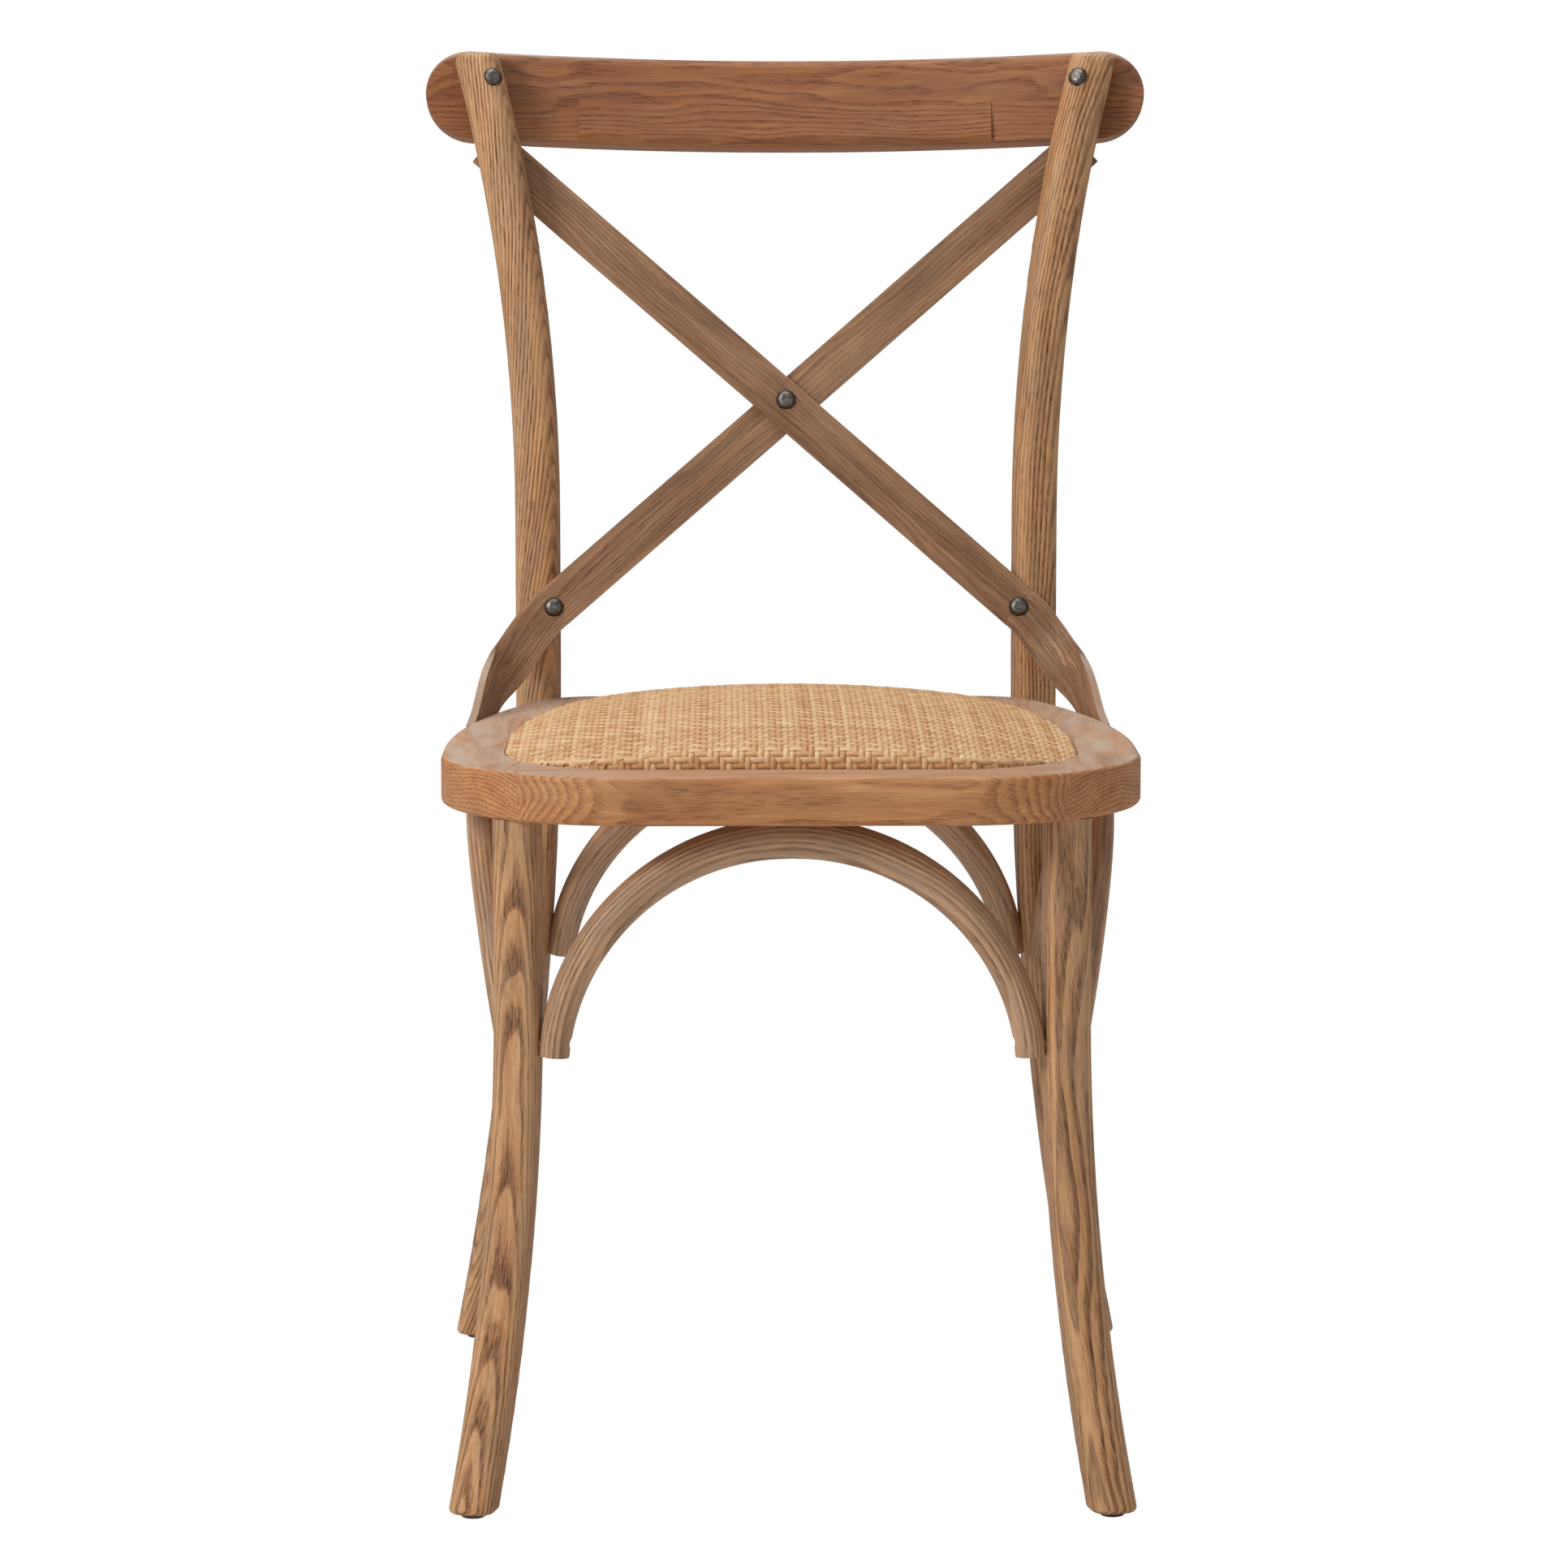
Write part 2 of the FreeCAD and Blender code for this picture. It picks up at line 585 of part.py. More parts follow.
def crop_foot(body, name):
    """Cut a leg level above the floor and round the edges of its end."""
    outline = rectangle_sketch(body, name + "_foot_plane", "8 * <leg_section>", "8 * <leg_section>",
                               lift(size["foot_lift"]))
    cropped = body.newObject("PartDesign::Pocket", name + "_foot_cut")
    cropped.Profile = outline
    bind(cropped, "Length", "2 * <leg_section>")
    round_edges(body, name + "_foot", cropped, "foot_round", lambda edge: level(edge, size["foot_lift"]))


def make_front_leg(side, word):
    angle = math.degrees(math.atan2(-size["front_foot_forward"], side * size["front_foot_out"]))
    base = V(side * front_leg_x, front_leg_y, 0)
    body = new_body(word + "_front_leg_body", FreeCAD.Placement(base, FreeCAD.Rotation(UP, angle)))
    path = new_sketch(body, word + "_front_leg_path", "XZ_Plane")
    path.addGeometry(Part.LineSegment(V(0, seat_under, 0), V(0, front_bend_z, 0)))
    turn = math.asin((front_height + leg_half) / front_radius)
    circle = Part.Circle(V(front_radius, front_bend_z, 0), UP, front_radius)
    path.addGeometry(Part.ArcOfCircle(circle, math.pi, math.pi + turn))
    path.addConstraint(Sketcher.Constraint("PointOnObject", 0, 1, -2))
    path.addConstraint(Sketcher.Constraint("PointOnObject", 0, 2, -2))
    path.addConstraint(Sketcher.Constraint("Tangent", 0, 2, 1, 1))
    limit(path, "top", "<seat_height> - <seat_thickness>", "DistanceY", -1, 1, 0, 1, seat_under)
    limit(path, "bend", "<seat_height> - <seat_thickness> - <front_leg_straight>",
          "DistanceY", -1, 1, 0, 2, front_bend_z)
    limit(path, "foot", "<foot_lift> - <leg_section> / 2", "DistanceY", -1, 1, 1, 2,
          size["foot_lift"] - leg_half)
    reach = "sqrt(<front_foot_out> ^ 2 + <front_foot_forward> ^ 2)"
    height = "<seat_height> - <seat_thickness> - <front_leg_straight> - <foot_lift>"
    limit(path, "sweep", arc_expression(reach, height), "Radius", 1, front_radius)
    section = section_sketch(body, word + "_front_leg_section",
                             section_offset(V(0, 0, seat_under), 0, side * size["leg_turn"] - angle))
    pipe(body, word + "_front_leg_sweep", section, path)
    crop_foot(body, word + "_front_leg")
    tenon = circle_sketch(body, word + "_front_leg_tenon", "leg_tenon_diameter", "XY_Plane", lift(seat_under))
    pad = body.newObject("PartDesign::Pad", word + "_front_leg_tenon_pad")
    pad.Profile = tenon
    bind(pad, "Length", "<leg_tenon_length>")
    return body, body.Placement.multVec(V(front_sweep, 0, size["foot_lift"]))


def make_post(side, word):
    angle = math.degrees(math.atan2(size["post_foot_back"], side * size["post_foot_out"]))
    base = V(side * post_x, post_y, 0)
    body = new_body(word + "_post_body", FreeCAD.Placement(base, FreeCAD.Rotation(UP, angle)))
    path = new_sketch(body, word + "_post_path", "XZ_Plane")
    low = post_low_bend
    high = post_high_bend
    end = post_top + leg_half
    start = size["foot_lift"] - leg_half
    low_turn = math.asin((low - start) / low_radius)
    high_turn = math.asin((end - high) / high_radius)
    low_circle = Part.Circle(V(low_radius, low, 0), UP, low_radius)
    high_circle = Part.Circle(V(high_radius, high, 0), UP, high_radius)
    path.addGeometry(Part.ArcOfCircle(low_circle, math.pi, math.pi + low_turn))
    path.addGeometry(Part.LineSegment(V(0, low, 0), V(0, high, 0)))
    path.addGeometry(Part.ArcOfCircle(high_circle, math.pi - high_turn, math.pi))
    path.addConstraint(Sketcher.Constraint("PointOnObject", 1, 1, -2))
    path.addConstraint(Sketcher.Constraint("PointOnObject", 1, 2, -2))
    path.addConstraint(Sketcher.Constraint("Tangent", 1, 1, 0, 1))
    path.addConstraint(Sketcher.Constraint("Tangent", 1, 2, 2, 2))
    limit(path, "low", "<seat_height> + <post_low_rise>", "DistanceY", -1, 1, 1, 1, low)
    limit(path, "high", "<seat_height> + <post_high_rise>", "DistanceY", -1, 1, 1, 2, high)
    limit(path, "foot", "<foot_lift> - <leg_section> / 2", "DistanceY", -1, 1, 0, 2, start)
    limit(path, "end", "<seat_height> + <post_rise> + <leg_section> / 2", "DistanceY", -1, 1, 2, 1, end)
    limit(path, "low_sweep", arc_expression("sqrt(<post_foot_out> ^ 2 + <post_foot_back> ^ 2)",
                                            "<seat_height> + <post_low_rise> - <foot_lift>"),
          "Radius", 0, low_radius)
    limit(path, "high_sweep", arc_expression("<post_top_lean>", "<post_rise> - <post_high_rise>"),
          "Radius", 2, high_radius)
    sweep_end = V(low_radius * (1 - math.cos(low_turn)), 0, start)
    section = section_sketch(body, word + "_post_section",
                             section_offset(sweep_end, -math.degrees(low_turn), side * size["leg_turn"] - angle))
    pipe(body, word + "_post_sweep", section, path)
    crop = rectangle_sketch(body, word + "_post_crop", "8 * <leg_section>", "8 * <leg_section>", lift(post_top))
    cropped = body.newObject("PartDesign::Pocket", word + "_post_cropped")
    cropped.Profile = crop
    cropped.Reversed = True
    bind(cropped, "Length", "2 * <leg_section>")
    round_edges(body, word + "_post_head", cropped, "post_top_round", lambda edge: level(edge, post_top))
    crop_foot(body, word + "_post")
    return body, body.Placement.multVec(V(post_sweep, 0, size["foot_lift"]))


front_legs = {word: make_front_leg(side, word) for side, word in SIDES}
posts = {word: make_post(side, word) for side, word in SIDES}


# Woven seat on its foam and board, let into the rebate of the frame

RIM_STEPS = (0, 0.03, 0.1, 0.25, 0.5, 1)
crown_top = seat_top + size["crown_rise"]


def make_cushion(name, bottom, rim, inset, sink):
    """A pad: upright from bottom to rim, rounded inwards, then bowed by an egg shape.

    sink is how far the top of the egg shape lies below the woven seat's."""
    body = new_body(name + "_blank")
    base = outline_sketch(body, name + "_base", bottom, inset, "<opening_rear_radius>")
    pad = body.newObject("PartDesign::Pad", name + "_edge")
    pad.Profile = base
    pad.Length = rim - bottom
    rings = []
    for k, step in enumerate(RIM_STEPS):
        rise = size["rim_rise"] * math.sqrt(1 - (1 - step) ** 2)
        drawn = f"{inset} + {step} * <rim_reach>"
        rear = f"<opening_rear_radius> - {step} * <rim_reach>"
        rings.append(outline_sketch(body, f"{name}_ring_{k}", rim + rise, drawn, rear))
    rounded = body.newObject("PartDesign::AdditiveLoft", name + "_rim")
    rounded.Profile = rings[0]
    rounded.Sections = rings[1:]
    egg = doc.addObject("Part::Ellipsoid", name + "_egg")
    bind(egg, "Radius1", "<crown_depth>")
    bind(egg, "Radius2", "sqrt(<crown_side_radius> * <crown_depth>)")
    bind(egg, "Radius3", "sqrt(<crown_length_radius> * <crown_depth>)")
    middle = V(0, seat_front + size["crown_setback"], crown_top - sink - size["crown_depth"])
    egg.Placement = FreeCAD.Placement(middle, FreeCAD.Rotation())
    return common(name, body, egg)


weave_inset = "<frame_margin> + <weave_gap>"
foam_inset = "<frame_margin> + <weave_gap> + <weave_thickness>"
weave_rim = seat_top + size["weave_rise"]
board_top = ledge_top + size["board_thickness"]
board_body = new_body("board_body")
board_sketch = outline_sketch(board_body, "board_outline", ledge_top, foam_inset, "<opening_rear_radius>")
board_pad = board_body.newObject("PartDesign::Pad", "board_pad")
board_pad.Profile = board_sketch
bind(board_pad, "Length", "<board_thickness>")
seat_foam = make_cushion("seat_foam", board_top, weave_rim - size["weave_thickness"], foam_inset,
                         size["weave_thickness"])
weave_body = make_cushion("weave_body", ledge_top, weave_rim, weave_inset, 0)
woven_seat = cut("woven_seat", weave_body, board_body, seat_foam)


# Crest rail: a bowed board leaned back with the posts, flat where they cross it

crest_z = post_top - size["crest_drop"]
crest_slope = math.asin((crest_z - post_high_bend) / high_radius)
crest_lean = math.atan(math.tan(crest_slope) * math.sin(math.radians(post_sweep_angle)))


def crest_face(x):
    """Depth of the bowed front face of the rail at x, from its middle plane at x = 0."""
    radius = size["crest_radius"] - size["crest_thickness"] / 2
    return math.sqrt(radius ** 2 - x ** 2) - size["crest_radius"]


crest_half = size["crest_width"] / 2
flat_start = V(size["crest_flat_start"], crest_face(size["crest_flat_start"]), 0)
flat_end = V(crest_half, crest_face(crest_half) + size["crest_flat_depth"], 0)
flat_angle = math.atan2(flat_end.y - flat_start.y, flat_end.x - flat_start.x)
crest_post = post_axis(crest_z)
flat_at_post = flat_start.y + math.tan(flat_angle) * (crest_post.x - flat_start.x)
crest_gap = leg_reach - size["crest_housing"] - flat_at_post
crest_place = FreeCAD.Placement(V(0, crest_post.y + crest_gap / math.cos(crest_lean), crest_z),
                                FreeCAD.Rotation(V(1, 0, 0), -math.degrees(crest_lean)))


def make_crest():
    body = new_body("crest_body", crest_place)
    plan = new_sketch(body, "crest_plan")
    middle = V(0, -size["crest_radius"], 0)
    inner = size["crest_radius"] - size["crest_thickness"] / 2
    outer = size["crest_radius"] + size["crest_thickness"] / 2

    def bow_arc(radius):
        spread = math.asin(crest_half / radius)
        circle = Part.Circle(middle, UP, radius)
        return Part.ArcOfCircle(circle, math.pi / 2 - spread, math.pi / 2 + spread)

    def end_line(side):
        near = middle.y + math.sqrt(inner ** 2 - crest_half ** 2)
        far = middle.y + math.sqrt(outer ** 2 - crest_half ** 2)
        return Part.LineSegment(V(side * crest_half, near, 0), V(side * crest_half, far, 0))

    plan.addGeometry(bow_arc(outer))
    plan.addGeometry(end_line(-1))
    plan.addGeometry(bow_arc(inner))
    plan.addGeometry(end_line(1))
    plan.addConstraint(Sketcher.Constraint("Coincident", 0, 2, 1, 2))
    plan.addConstraint(Sketcher.Constraint("Coincident", 1, 1, 2, 2))
    plan.addConstraint(Sketcher.Constraint("Coincident", 2, 1, 3, 1))
    plan.addConstraint(Sketcher.Constraint("Coincident", 3, 2, 0, 1))
    plan.addConstraint(Sketcher.Constraint("PointOnObject", 0, 3, -2))
    plan.addConstraint(Sketcher.Constraint("Coincident", 0, 3, 2, 3))
    plan.addConstraint(Sketcher.Constraint("Horizontal", 2, 1, 2, 2))
    plan.addConstraint(Sketcher.Constraint("Vertical", 1))
    plan.addConstraint(Sketcher.Constraint("Vertical", 3))
    limit(plan, "middle", "<crest_radius>", "DistanceY", 0, 3, -1, 1, size["crest_radius"])
    limit(plan, "outer", "<crest_radius> + <crest_thickness> / 2", "Radius", 0, outer)
    limit(plan, "inner", "<crest_radius> - <crest_thickness> / 2", "Radius", 2, inner)
    limit(plan, "wide", "<crest_width>", "DistanceX", 2, 2, 2, 1, 2 * crest_half)
    bow = body.newObject("PartDesign::Pad", "crest_bow")
    bow.Profile = plan
    bow.Midplane = True
    bind(bow, "Length", "<crest_height>")
    front = new_sketch(body, "crest_front", "XZ_Plane")
    half_height = size["crest_height"] / 2
    straight = crest_half - half_height
    far = 2 * size["crest_width"]
    front.addGeometry(Part.LineSegment(V(-straight, half_height, 0), V(straight, half_height, 0)))
    right_end = Part.Circle(V(straight, 0, 0), UP, half_height)
    front.addGeometry(Part.ArcOfCircle(right_end, -math.pi / 2, math.pi / 2))
    front.addGeometry(Part.LineSegment(V(straight, -half_height, 0), V(-straight, -half_height, 0)))
    left_end = Part.Circle(V(-straight, 0, 0), UP, half_height)
    front.addGeometry(Part.ArcOfCircle(left_end, math.pi / 2, 3 * math.pi / 2))
    front.addConstraint(Sketcher.Constraint("Tangent", 0, 2, 1, 2))
    front.addConstraint(Sketcher.Constraint("Tangent", 1, 1, 2, 1))
    front.addConstraint(Sketcher.Constraint("Tangent", 2, 2, 3, 2))
    front.addConstraint(Sketcher.Constraint("Tangent", 3, 1, 0, 1))
    front.addConstraint(Sketcher.Constraint("Horizontal", 0))
    front.addConstraint(Sketcher.Constraint("Symmetric", 0, 1, 2, 1, -1, 1))
    limit(front, "high", "<crest_height> / 2", "Radius", 1, half_height)
    limit(front, "wide", "<crest_width> - <crest_height>", "DistanceX", 3, 3, 1, 3, 2 * straight)
    front.addGeometry(Part.Circle(V(0, 0, 0), UP, far))
    front.addConstraint(Sketcher.Constraint("Coincident", 4, 3, -1, 1))
    limit(front, "clear", "2 * <crest_width>", "Radius", 4, far)
    shape = body.newObject("PartDesign::Pocket", "crest_outline")
    shape.Profile = front
    shape.Midplane = True
    bind(shape, "Length", "<crest_width>")

    def rim(edge):
        flat = level(edge, half_height) or level(edge, -half_height)
        box = edge.BoundBox
        end = box.XMin > straight - 0.01 or box.XMax < -straight + 0.01
        return (flat and box.XLength > crest_half) or (end and box.ZLength > half_height)

    round_edges(body, "crest_rounding", shape, "crest_round", rim)
    return body


def crest_flats(side, word):
    """A block that planes one end of the rail flat, a little deeper at its bottom."""
    flat = doc.addObject("Part::Box", f"{word}_crest_flat")
    bind(flat, "Length", "<crest_width> / 2")
    bind(flat, "Width", "<crest_thickness> * 2")
    bind(flat, "Height", "<crest_height> * 2")
    lean = FreeCAD.Rotation(V(1, 0, 0), size["crest_flat_lean"])
    turn = FreeCAD.Rotation(UP, math.degrees(flat_angle) * side)
    reach = size["crest_width"] / 2 if side < 0 else 0
    corner = V(-reach, -2 * size["crest_thickness"], -size["crest_height"])
    middle = FreeCAD.Placement(V(side * flat_start.x, flat_start.y, 0), turn.multiply(lean))
    flat.Placement = crest_place.multiply(middle).multiply(FreeCAD.Placement(corner, FreeCAD.Rotation()))
    return flat


crest_body = make_crest()
crest_cuts = [crest_flats(side, word) for side, word in SIDES]
crest_cuts += [posts[word][0] for side, word in SIDES]


# Braces: bent rods under the seat, thick at the crown and thinner at the feet

crown_z = seat_under + size["arch_flat"]


def make_arch(name, placement, half_span, rise, bend, crown_size):
    """Half the rod is swept from crown to foot in the body's XZ plane, then mirrored.

    bend is the radius of the corner; None makes one arc of the whole half."""
    body = new_body(name, placement)
    path = new_sketch(body, name + "_path", "XZ_Plane")
    if bend is None:
        radius = (half_span ** 2 + rise ** 2) / (2 * rise)
        dip = rise - radius
        lean = math.asin(-dip / radius)
        arc = Part.ArcOfCircle(Part.Circle(V(0, dip, 0), UP, radius), lean, math.pi / 2)
        path.addGeometry(arc)
        path.addConstraint(Sketcher.Constraint("PointOnObject", 0, 3, -2))
        path.addConstraint(Sketcher.Constraint("PointOnObject", 0, 2, -2))
        path.addConstraint(Sketcher.Constraint("PointOnObject", 0, 1, -1))
        path.addConstraint(Sketcher.Constraint("DistanceX", -1, 1, 0, 1, half_span))
        path.addConstraint(Sketcher.Constraint("DistanceY", -1, 1, 0, 2, rise))
    else:
        radius = size[bend]
        lean = 0.0
        top = V(half_span - radius, rise, 0)
        low = V(half_span, rise - radius, 0)
        path.addGeometry(Part.LineSegment(V(0, rise, 0), top))
        circle = Part.Circle(V(half_span - radius, rise - radius, 0), UP, radius)
        path.addGeometry(Part.ArcOfCircle(circle, 0, math.pi / 2))
        path.addGeometry(Part.LineSegment(low, V(half_span, 0, 0)))
        path.addConstraint(Sketcher.Constraint("PointOnObject", 0, 1, -2))
        path.addConstraint(Sketcher.Constraint("Horizontal", 0))
        path.addConstraint(Sketcher.Constraint("Tangent", 0, 2, 1, 2))
        path.addConstraint(Sketcher.Constraint("Tangent", 1, 1, 2, 1))
        path.addConstraint(Sketcher.Constraint("Vertical", 2))
        path.addConstraint(Sketcher.Constraint("PointOnObject", 2, 2, -1))
        limit(path, "bend", f"<{bend}>", "Radius", 1, radius)
        path.addConstraint(Sketcher.Constraint("DistanceX", -1, 1, 2, 2, half_span))
        path.addConstraint(Sketcher.Constraint("DistanceY", -1, 1, 0, 1, rise))
    crown_place = FreeCAD.Placement(V(0, rise, 0), FreeCAD.Rotation())
    crown = circle_sketch(body, name + "_crown", crown_size, "YZ_Plane", crown_place)
    foot_turn = FreeCAD.Rotation(V(0, 1, 0), -math.degrees(lean))
    foot_place = FreeCAD.Placement(V(half_span, 0, 0), foot_turn)
    foot = circle_sketch(body, name + "_foot", "arch_foot_diameter", "XY_Plane", foot_place)
    half = pipe(body, name + "_half", crown, path, [foot])
    whole = body.newObject("PartDesign::Mirrored", name + "_whole")
    whole.Originals = [half]
    whole.MirrorPlane = (plane(body, "YZ_Plane"), [""])
    body.Tip = whole
    return body


foot_z = seat_under - size["arch_foot_drop"]
scribe = leg_half + size["arch_foot_diameter"] / 2 - size["arch_bite"]
post_at_foot = post_axis(foot_z)
front_plane_y = front_leg_y - size["front_arch_forward"]
front_crown_z = crown_z - size["arch_crown_diameter"] / 2
side_crown_z = crown_z - size["side_arch_diameter"] / 2
rear_crown_y = seat_rear - size["rear_arch_crown_inset"]
side_crown_x = half_seat - size["side_arch_crown_inset"]
side_foot_x = front_leg_x + size["side_arch_foot_outset"]


def arch_lean(rise, drift):
    """Length of a leaning rise and its angle, for a drift aside over that rise."""
    return math.hypot(rise, drift), math.degrees(math.atan2(drift, rise))


front_rise = front_crown_z - foot_z
front_arch_body = make_arch("front_arch_body", FreeCAD.Placement(V(0, front_plane_y, foot_z), FreeCAD.Rotation()),
                            front_leg_x - scribe, front_rise, None, "arch_crown_diameter")
rear_rise, rear_lean = arch_lean(front_rise, rear_crown_y - post_at_foot.y)
rear_arch_body = make_arch("rear_arch_body",
                           FreeCAD.Placement(V(0, post_at_foot.y, foot_z), FreeCAD.Rotation(V(1, 0, 0), -rear_lean)),
                           post_at_foot.x - scribe, rear_rise, None, "arch_crown_diameter")
side_front_y = front_leg_y + scribe
side_rear_y = post_at_foot.y - scribe
side_middle_y = (side_front_y + side_rear_y) / 2
side_half = (side_rear_y - side_front_y) / 2
side_rise, side_lean = arch_lean(side_crown_z - foot_z, side_crown_x - side_foot_x)


def make_side_arch(side, word):
    across = FreeCAD.Rotation(UP, 90)
    lean = FreeCAD.Rotation(V(0, 1, 0), side * side_lean)
    place = FreeCAD.Placement(V(side * side_foot_x, side_middle_y, foot_z), lean.multiply(across))
    return make_arch(word + "_arch_body", place, side_half, side_rise, "side_arch_radius", "side_arch_diameter")


side_arch_bodies = {word: make_side_arch(side, word) for side, word in SIDES}
seat_bed = block("seat_bed", "<seat_width>", "<seat_depth>", V(-half_seat, seat_front, seat_under))


# Crossed straps: straight from the crest rail to the post, then bent round to the seat

strap_half = size["strap_thickness"] / 2
strap_low = V(post_x - size["strap_rivet_inset"],
              post_y - leg_reach + size["strap_housing"] - strap_half, seat_top + size["strap_rivet_rise"])
cross_z = seat_top + size["cross_rise"]
strap_top_x = post_x + size["strap_top_outset"]
strap_top_z = cross_z + (cross_z - strap_low.z) * strap_top_x / strap_low.x
strap_top_post = post_axis(strap_top_z)
strap_high = V(-strap_top_x,
               strap_top_post.y + leg_reach / math.cos(crest_lean) - size["strap_housing"] + strap_half,
               strap_top_z)
strap_line = (strap_low - strap_high).normalize()
strap_normal = V(0, strap_low.z - strap_high.z, strap_high.y - strap_low.y).normalize()
strap_cross = strap_high + strap_line * (strap_top_x / strap_line.x)
strap_end_y = seat_rear - size["strap_end_inset"]
strap_side = V(seat_half_width(strap_end_y) - side_centre_x, strap_end_y - side_bend_y, 0).normalize()
strap_end = V(seat_half_width(strap_end_y), strap_end_y, seat_top - size["strap_end_drop"])
strap_end = strap_end + strap_side * (strap_half - size["strap_housing"])
fall = math.radians(size["strap_landing_angle"])
strap_fall = V(strap_side.y * math.cos(fall), -strap_side.x * math.cos(fall), -math.sin(fall))
strap_knee = strap_low + V(size["strap_bend_out"], -size["strap_bend_forward"], -size["strap_bend_drop"])
strap_landing = strap_end - strap_fall * size["strap_landing"]
strap_bend = Part.BSplineCurve()
strap_bend.interpolate(Points=[strap_low, strap_knee, strap_landing, strap_end],
                       InitialTangent=strap_line, FinalTangent=strap_fall)


def bend_frame(step):
    """Point, direction and face normal of the bent part, step from 0 at the post to 1."""
    u = strap_bend.FirstParameter + step * (strap_bend.LastParameter - strap_bend.FirstParameter)
    heading = strap_bend.tangent(u)[0]
    level_heading = V(heading.x, heading.y, 0).normalize()
    blend = step * step * (3 - 2 * step)
    face = strap_normal * (1 - blend) + V(level_heading.y, -level_heading.x, 0) * blend
    face = (face - heading * face.dot(heading)).normalize()
    return strap_bend.value(u), heading, face


def side_of(vector, side):
    """A vector given for the right side, on that side or the other."""
    return V(side * vector.x, vector.y, vector.z)


BEND_STEPS = 8


def make_strap(name, side, offset):
    """A strap that ends low on this side. offset moves its middle towards the sitter."""
    body = new_body(name)

    def section(tag, point, heading, face):
        place = frame(side_of(point, side), side_of(heading.cross(face), side), side_of(heading, side))
        return rectangle_sketch(body, f"{name}_{tag}", "<strap_width>", "<strap_thickness>", place)

    grip = strap_line * size["strap_grip"]
    shift = strap_normal * offset
    straight = [
        section("top", strap_high, strap_line, strap_normal),
        section("above", strap_cross - grip + shift, strap_line, strap_normal),
        section("below", strap_cross + grip + shift, strap_line, strap_normal),
        section("post", strap_low, strap_line, strap_normal),
    ]
    loft = body.newObject("PartDesign::AdditiveLoft", name + "_straight")
    loft.Profile = straight[0]
    loft.Sections = straight[1:]
    loft.Ruled = True
    bent = [section(f"bend_{k}", *bend_frame(k / BEND_STEPS)) for k in range(BEND_STEPS + 1)]
    curve = body.newObject("PartDesign::AdditiveLoft", name + "_bent")
    curve.Profile = bent[0]
    curve.Sections = bent[1:]
    return body


strap_bodies = {"front": make_strap("front_strap_body", 1, strap_half),
                "rear": make_strap("rear_strap_body", -1, -strap_half)}
rail_bed = doc.addObject("Part::Box", "crest_underside")
bind(rail_bed, "Length", "<crest_width>")
bind(rail_bed, "Width", "<crest_thickness> * 6")
bind(rail_bed, "Height", "<crest_height>")
bed_corner = V(-crest_half, -3 * size["crest_thickness"], -size["crest_height"] / 2)
rail_bed.Placement = crest_place.multiply(FreeCAD.Placement(bed_corner, FreeCAD.Rotation()))


# Fasteners, each with the hole it needs

def dome(name, base, outward):
    """Rounded rivet head that stands on base and points outward."""
    half = size["rivet_head_diameter"] / 2
    high = size["rivet_head_height"]
    radius = (half ** 2 + high ** 2) / (2 * high)
    thing = doc.addObject("Part::Sphere", name)
    bind(thing, "Radius", "((<rivet_head_diameter> / 2) ^ 2 + <rivet_head_height> ^ 2) / (2 * <rivet_head_height>)")
    thing.Angle1 = math.degrees(math.asin((radius - high) / radius))
    thing.Angle2 = 90
    thing.Placement = along(base - outward * (radius - high), outward)
    return thing


def rivet(name, base, outward, length, two_heads=False):
    """A domed rivet and its hole. length is an expression."""
    inward = along(base, outward * -1)
    parts = [dome(name + "_head", base, outward), cylinder(name + "_shank", "<rivet_shank_diameter>", length, inward)]
    if two_heads:
        parts.append(dome(name + "_tail", base - outward * amount(length), outward * -1))
    wide = cylinder(name + "_seat", "<rivet_head_diameter> + 2 * <hole_clearance>",
                    "<rivet_head_diameter>", along(base, outward))
    narrow = cylinder(name + "_bore", "<rivet_shank_diameter> + 2 * <hole_clearance>", length, inward)
    return fuse(name, *parts), fuse(name + "_hole", wide, narrow)


def countersunk(name, top, inward, length, gap):
    """Cone and shank of a wood screw, all wider by the gap on each side."""
    head = doc.addObject("Part::Cone", name + "_cone")
    bind(head, "Radius1", f"<screw_head_diameter> / 2 + {gap}")
    bind(head, "Radius2", f"<screw_diameter> / 2 + {gap}")
    bind(head, "Height", "<screw_head_height>")
    head.Placement = along(top, inward)
    start = along(top + inward * size["screw_head_height"], inward)
    shank = cylinder(name + "_shank", f"<screw_diameter> + 2 * {gap}", f"<{length}> - <screw_head_height>", start)
    return [head, shank]


def screw(name, top, inward, length):
    """A wood screw with its head flush at top, and its hole. length is a sheet value's name."""
    solid = fuse(name, *countersunk(name, top, inward, length, "0"))
    way_in = cylinder(name + "_way", "<screw_head_diameter> + 2 * <hole_clearance>",
                      "<screw_head_diameter>", along(top, inward * -1))
    hole = fuse(name + "_hole", way_in, *countersunk(name + "_bore", top, inward, length, "<hole_clearance>"))
    return solid, hole


post_cuts = {word: [ring] + list(strap_bodies.values()) for side, word in SIDES}
leg_cuts = {word: [] for side, word in SIDES}
strap_cuts = {"front": [rail_bed], "rear": [rail_bed]}
arch_cuts = {"front": [seat_bed], "rear": [seat_bed], "left": [seat_bed], "right": [seat_bed]}
board_cuts = []
strap_below = {"right": "front", "left": "rear"}
strap_above = {"left": "front", "right": "rear"}


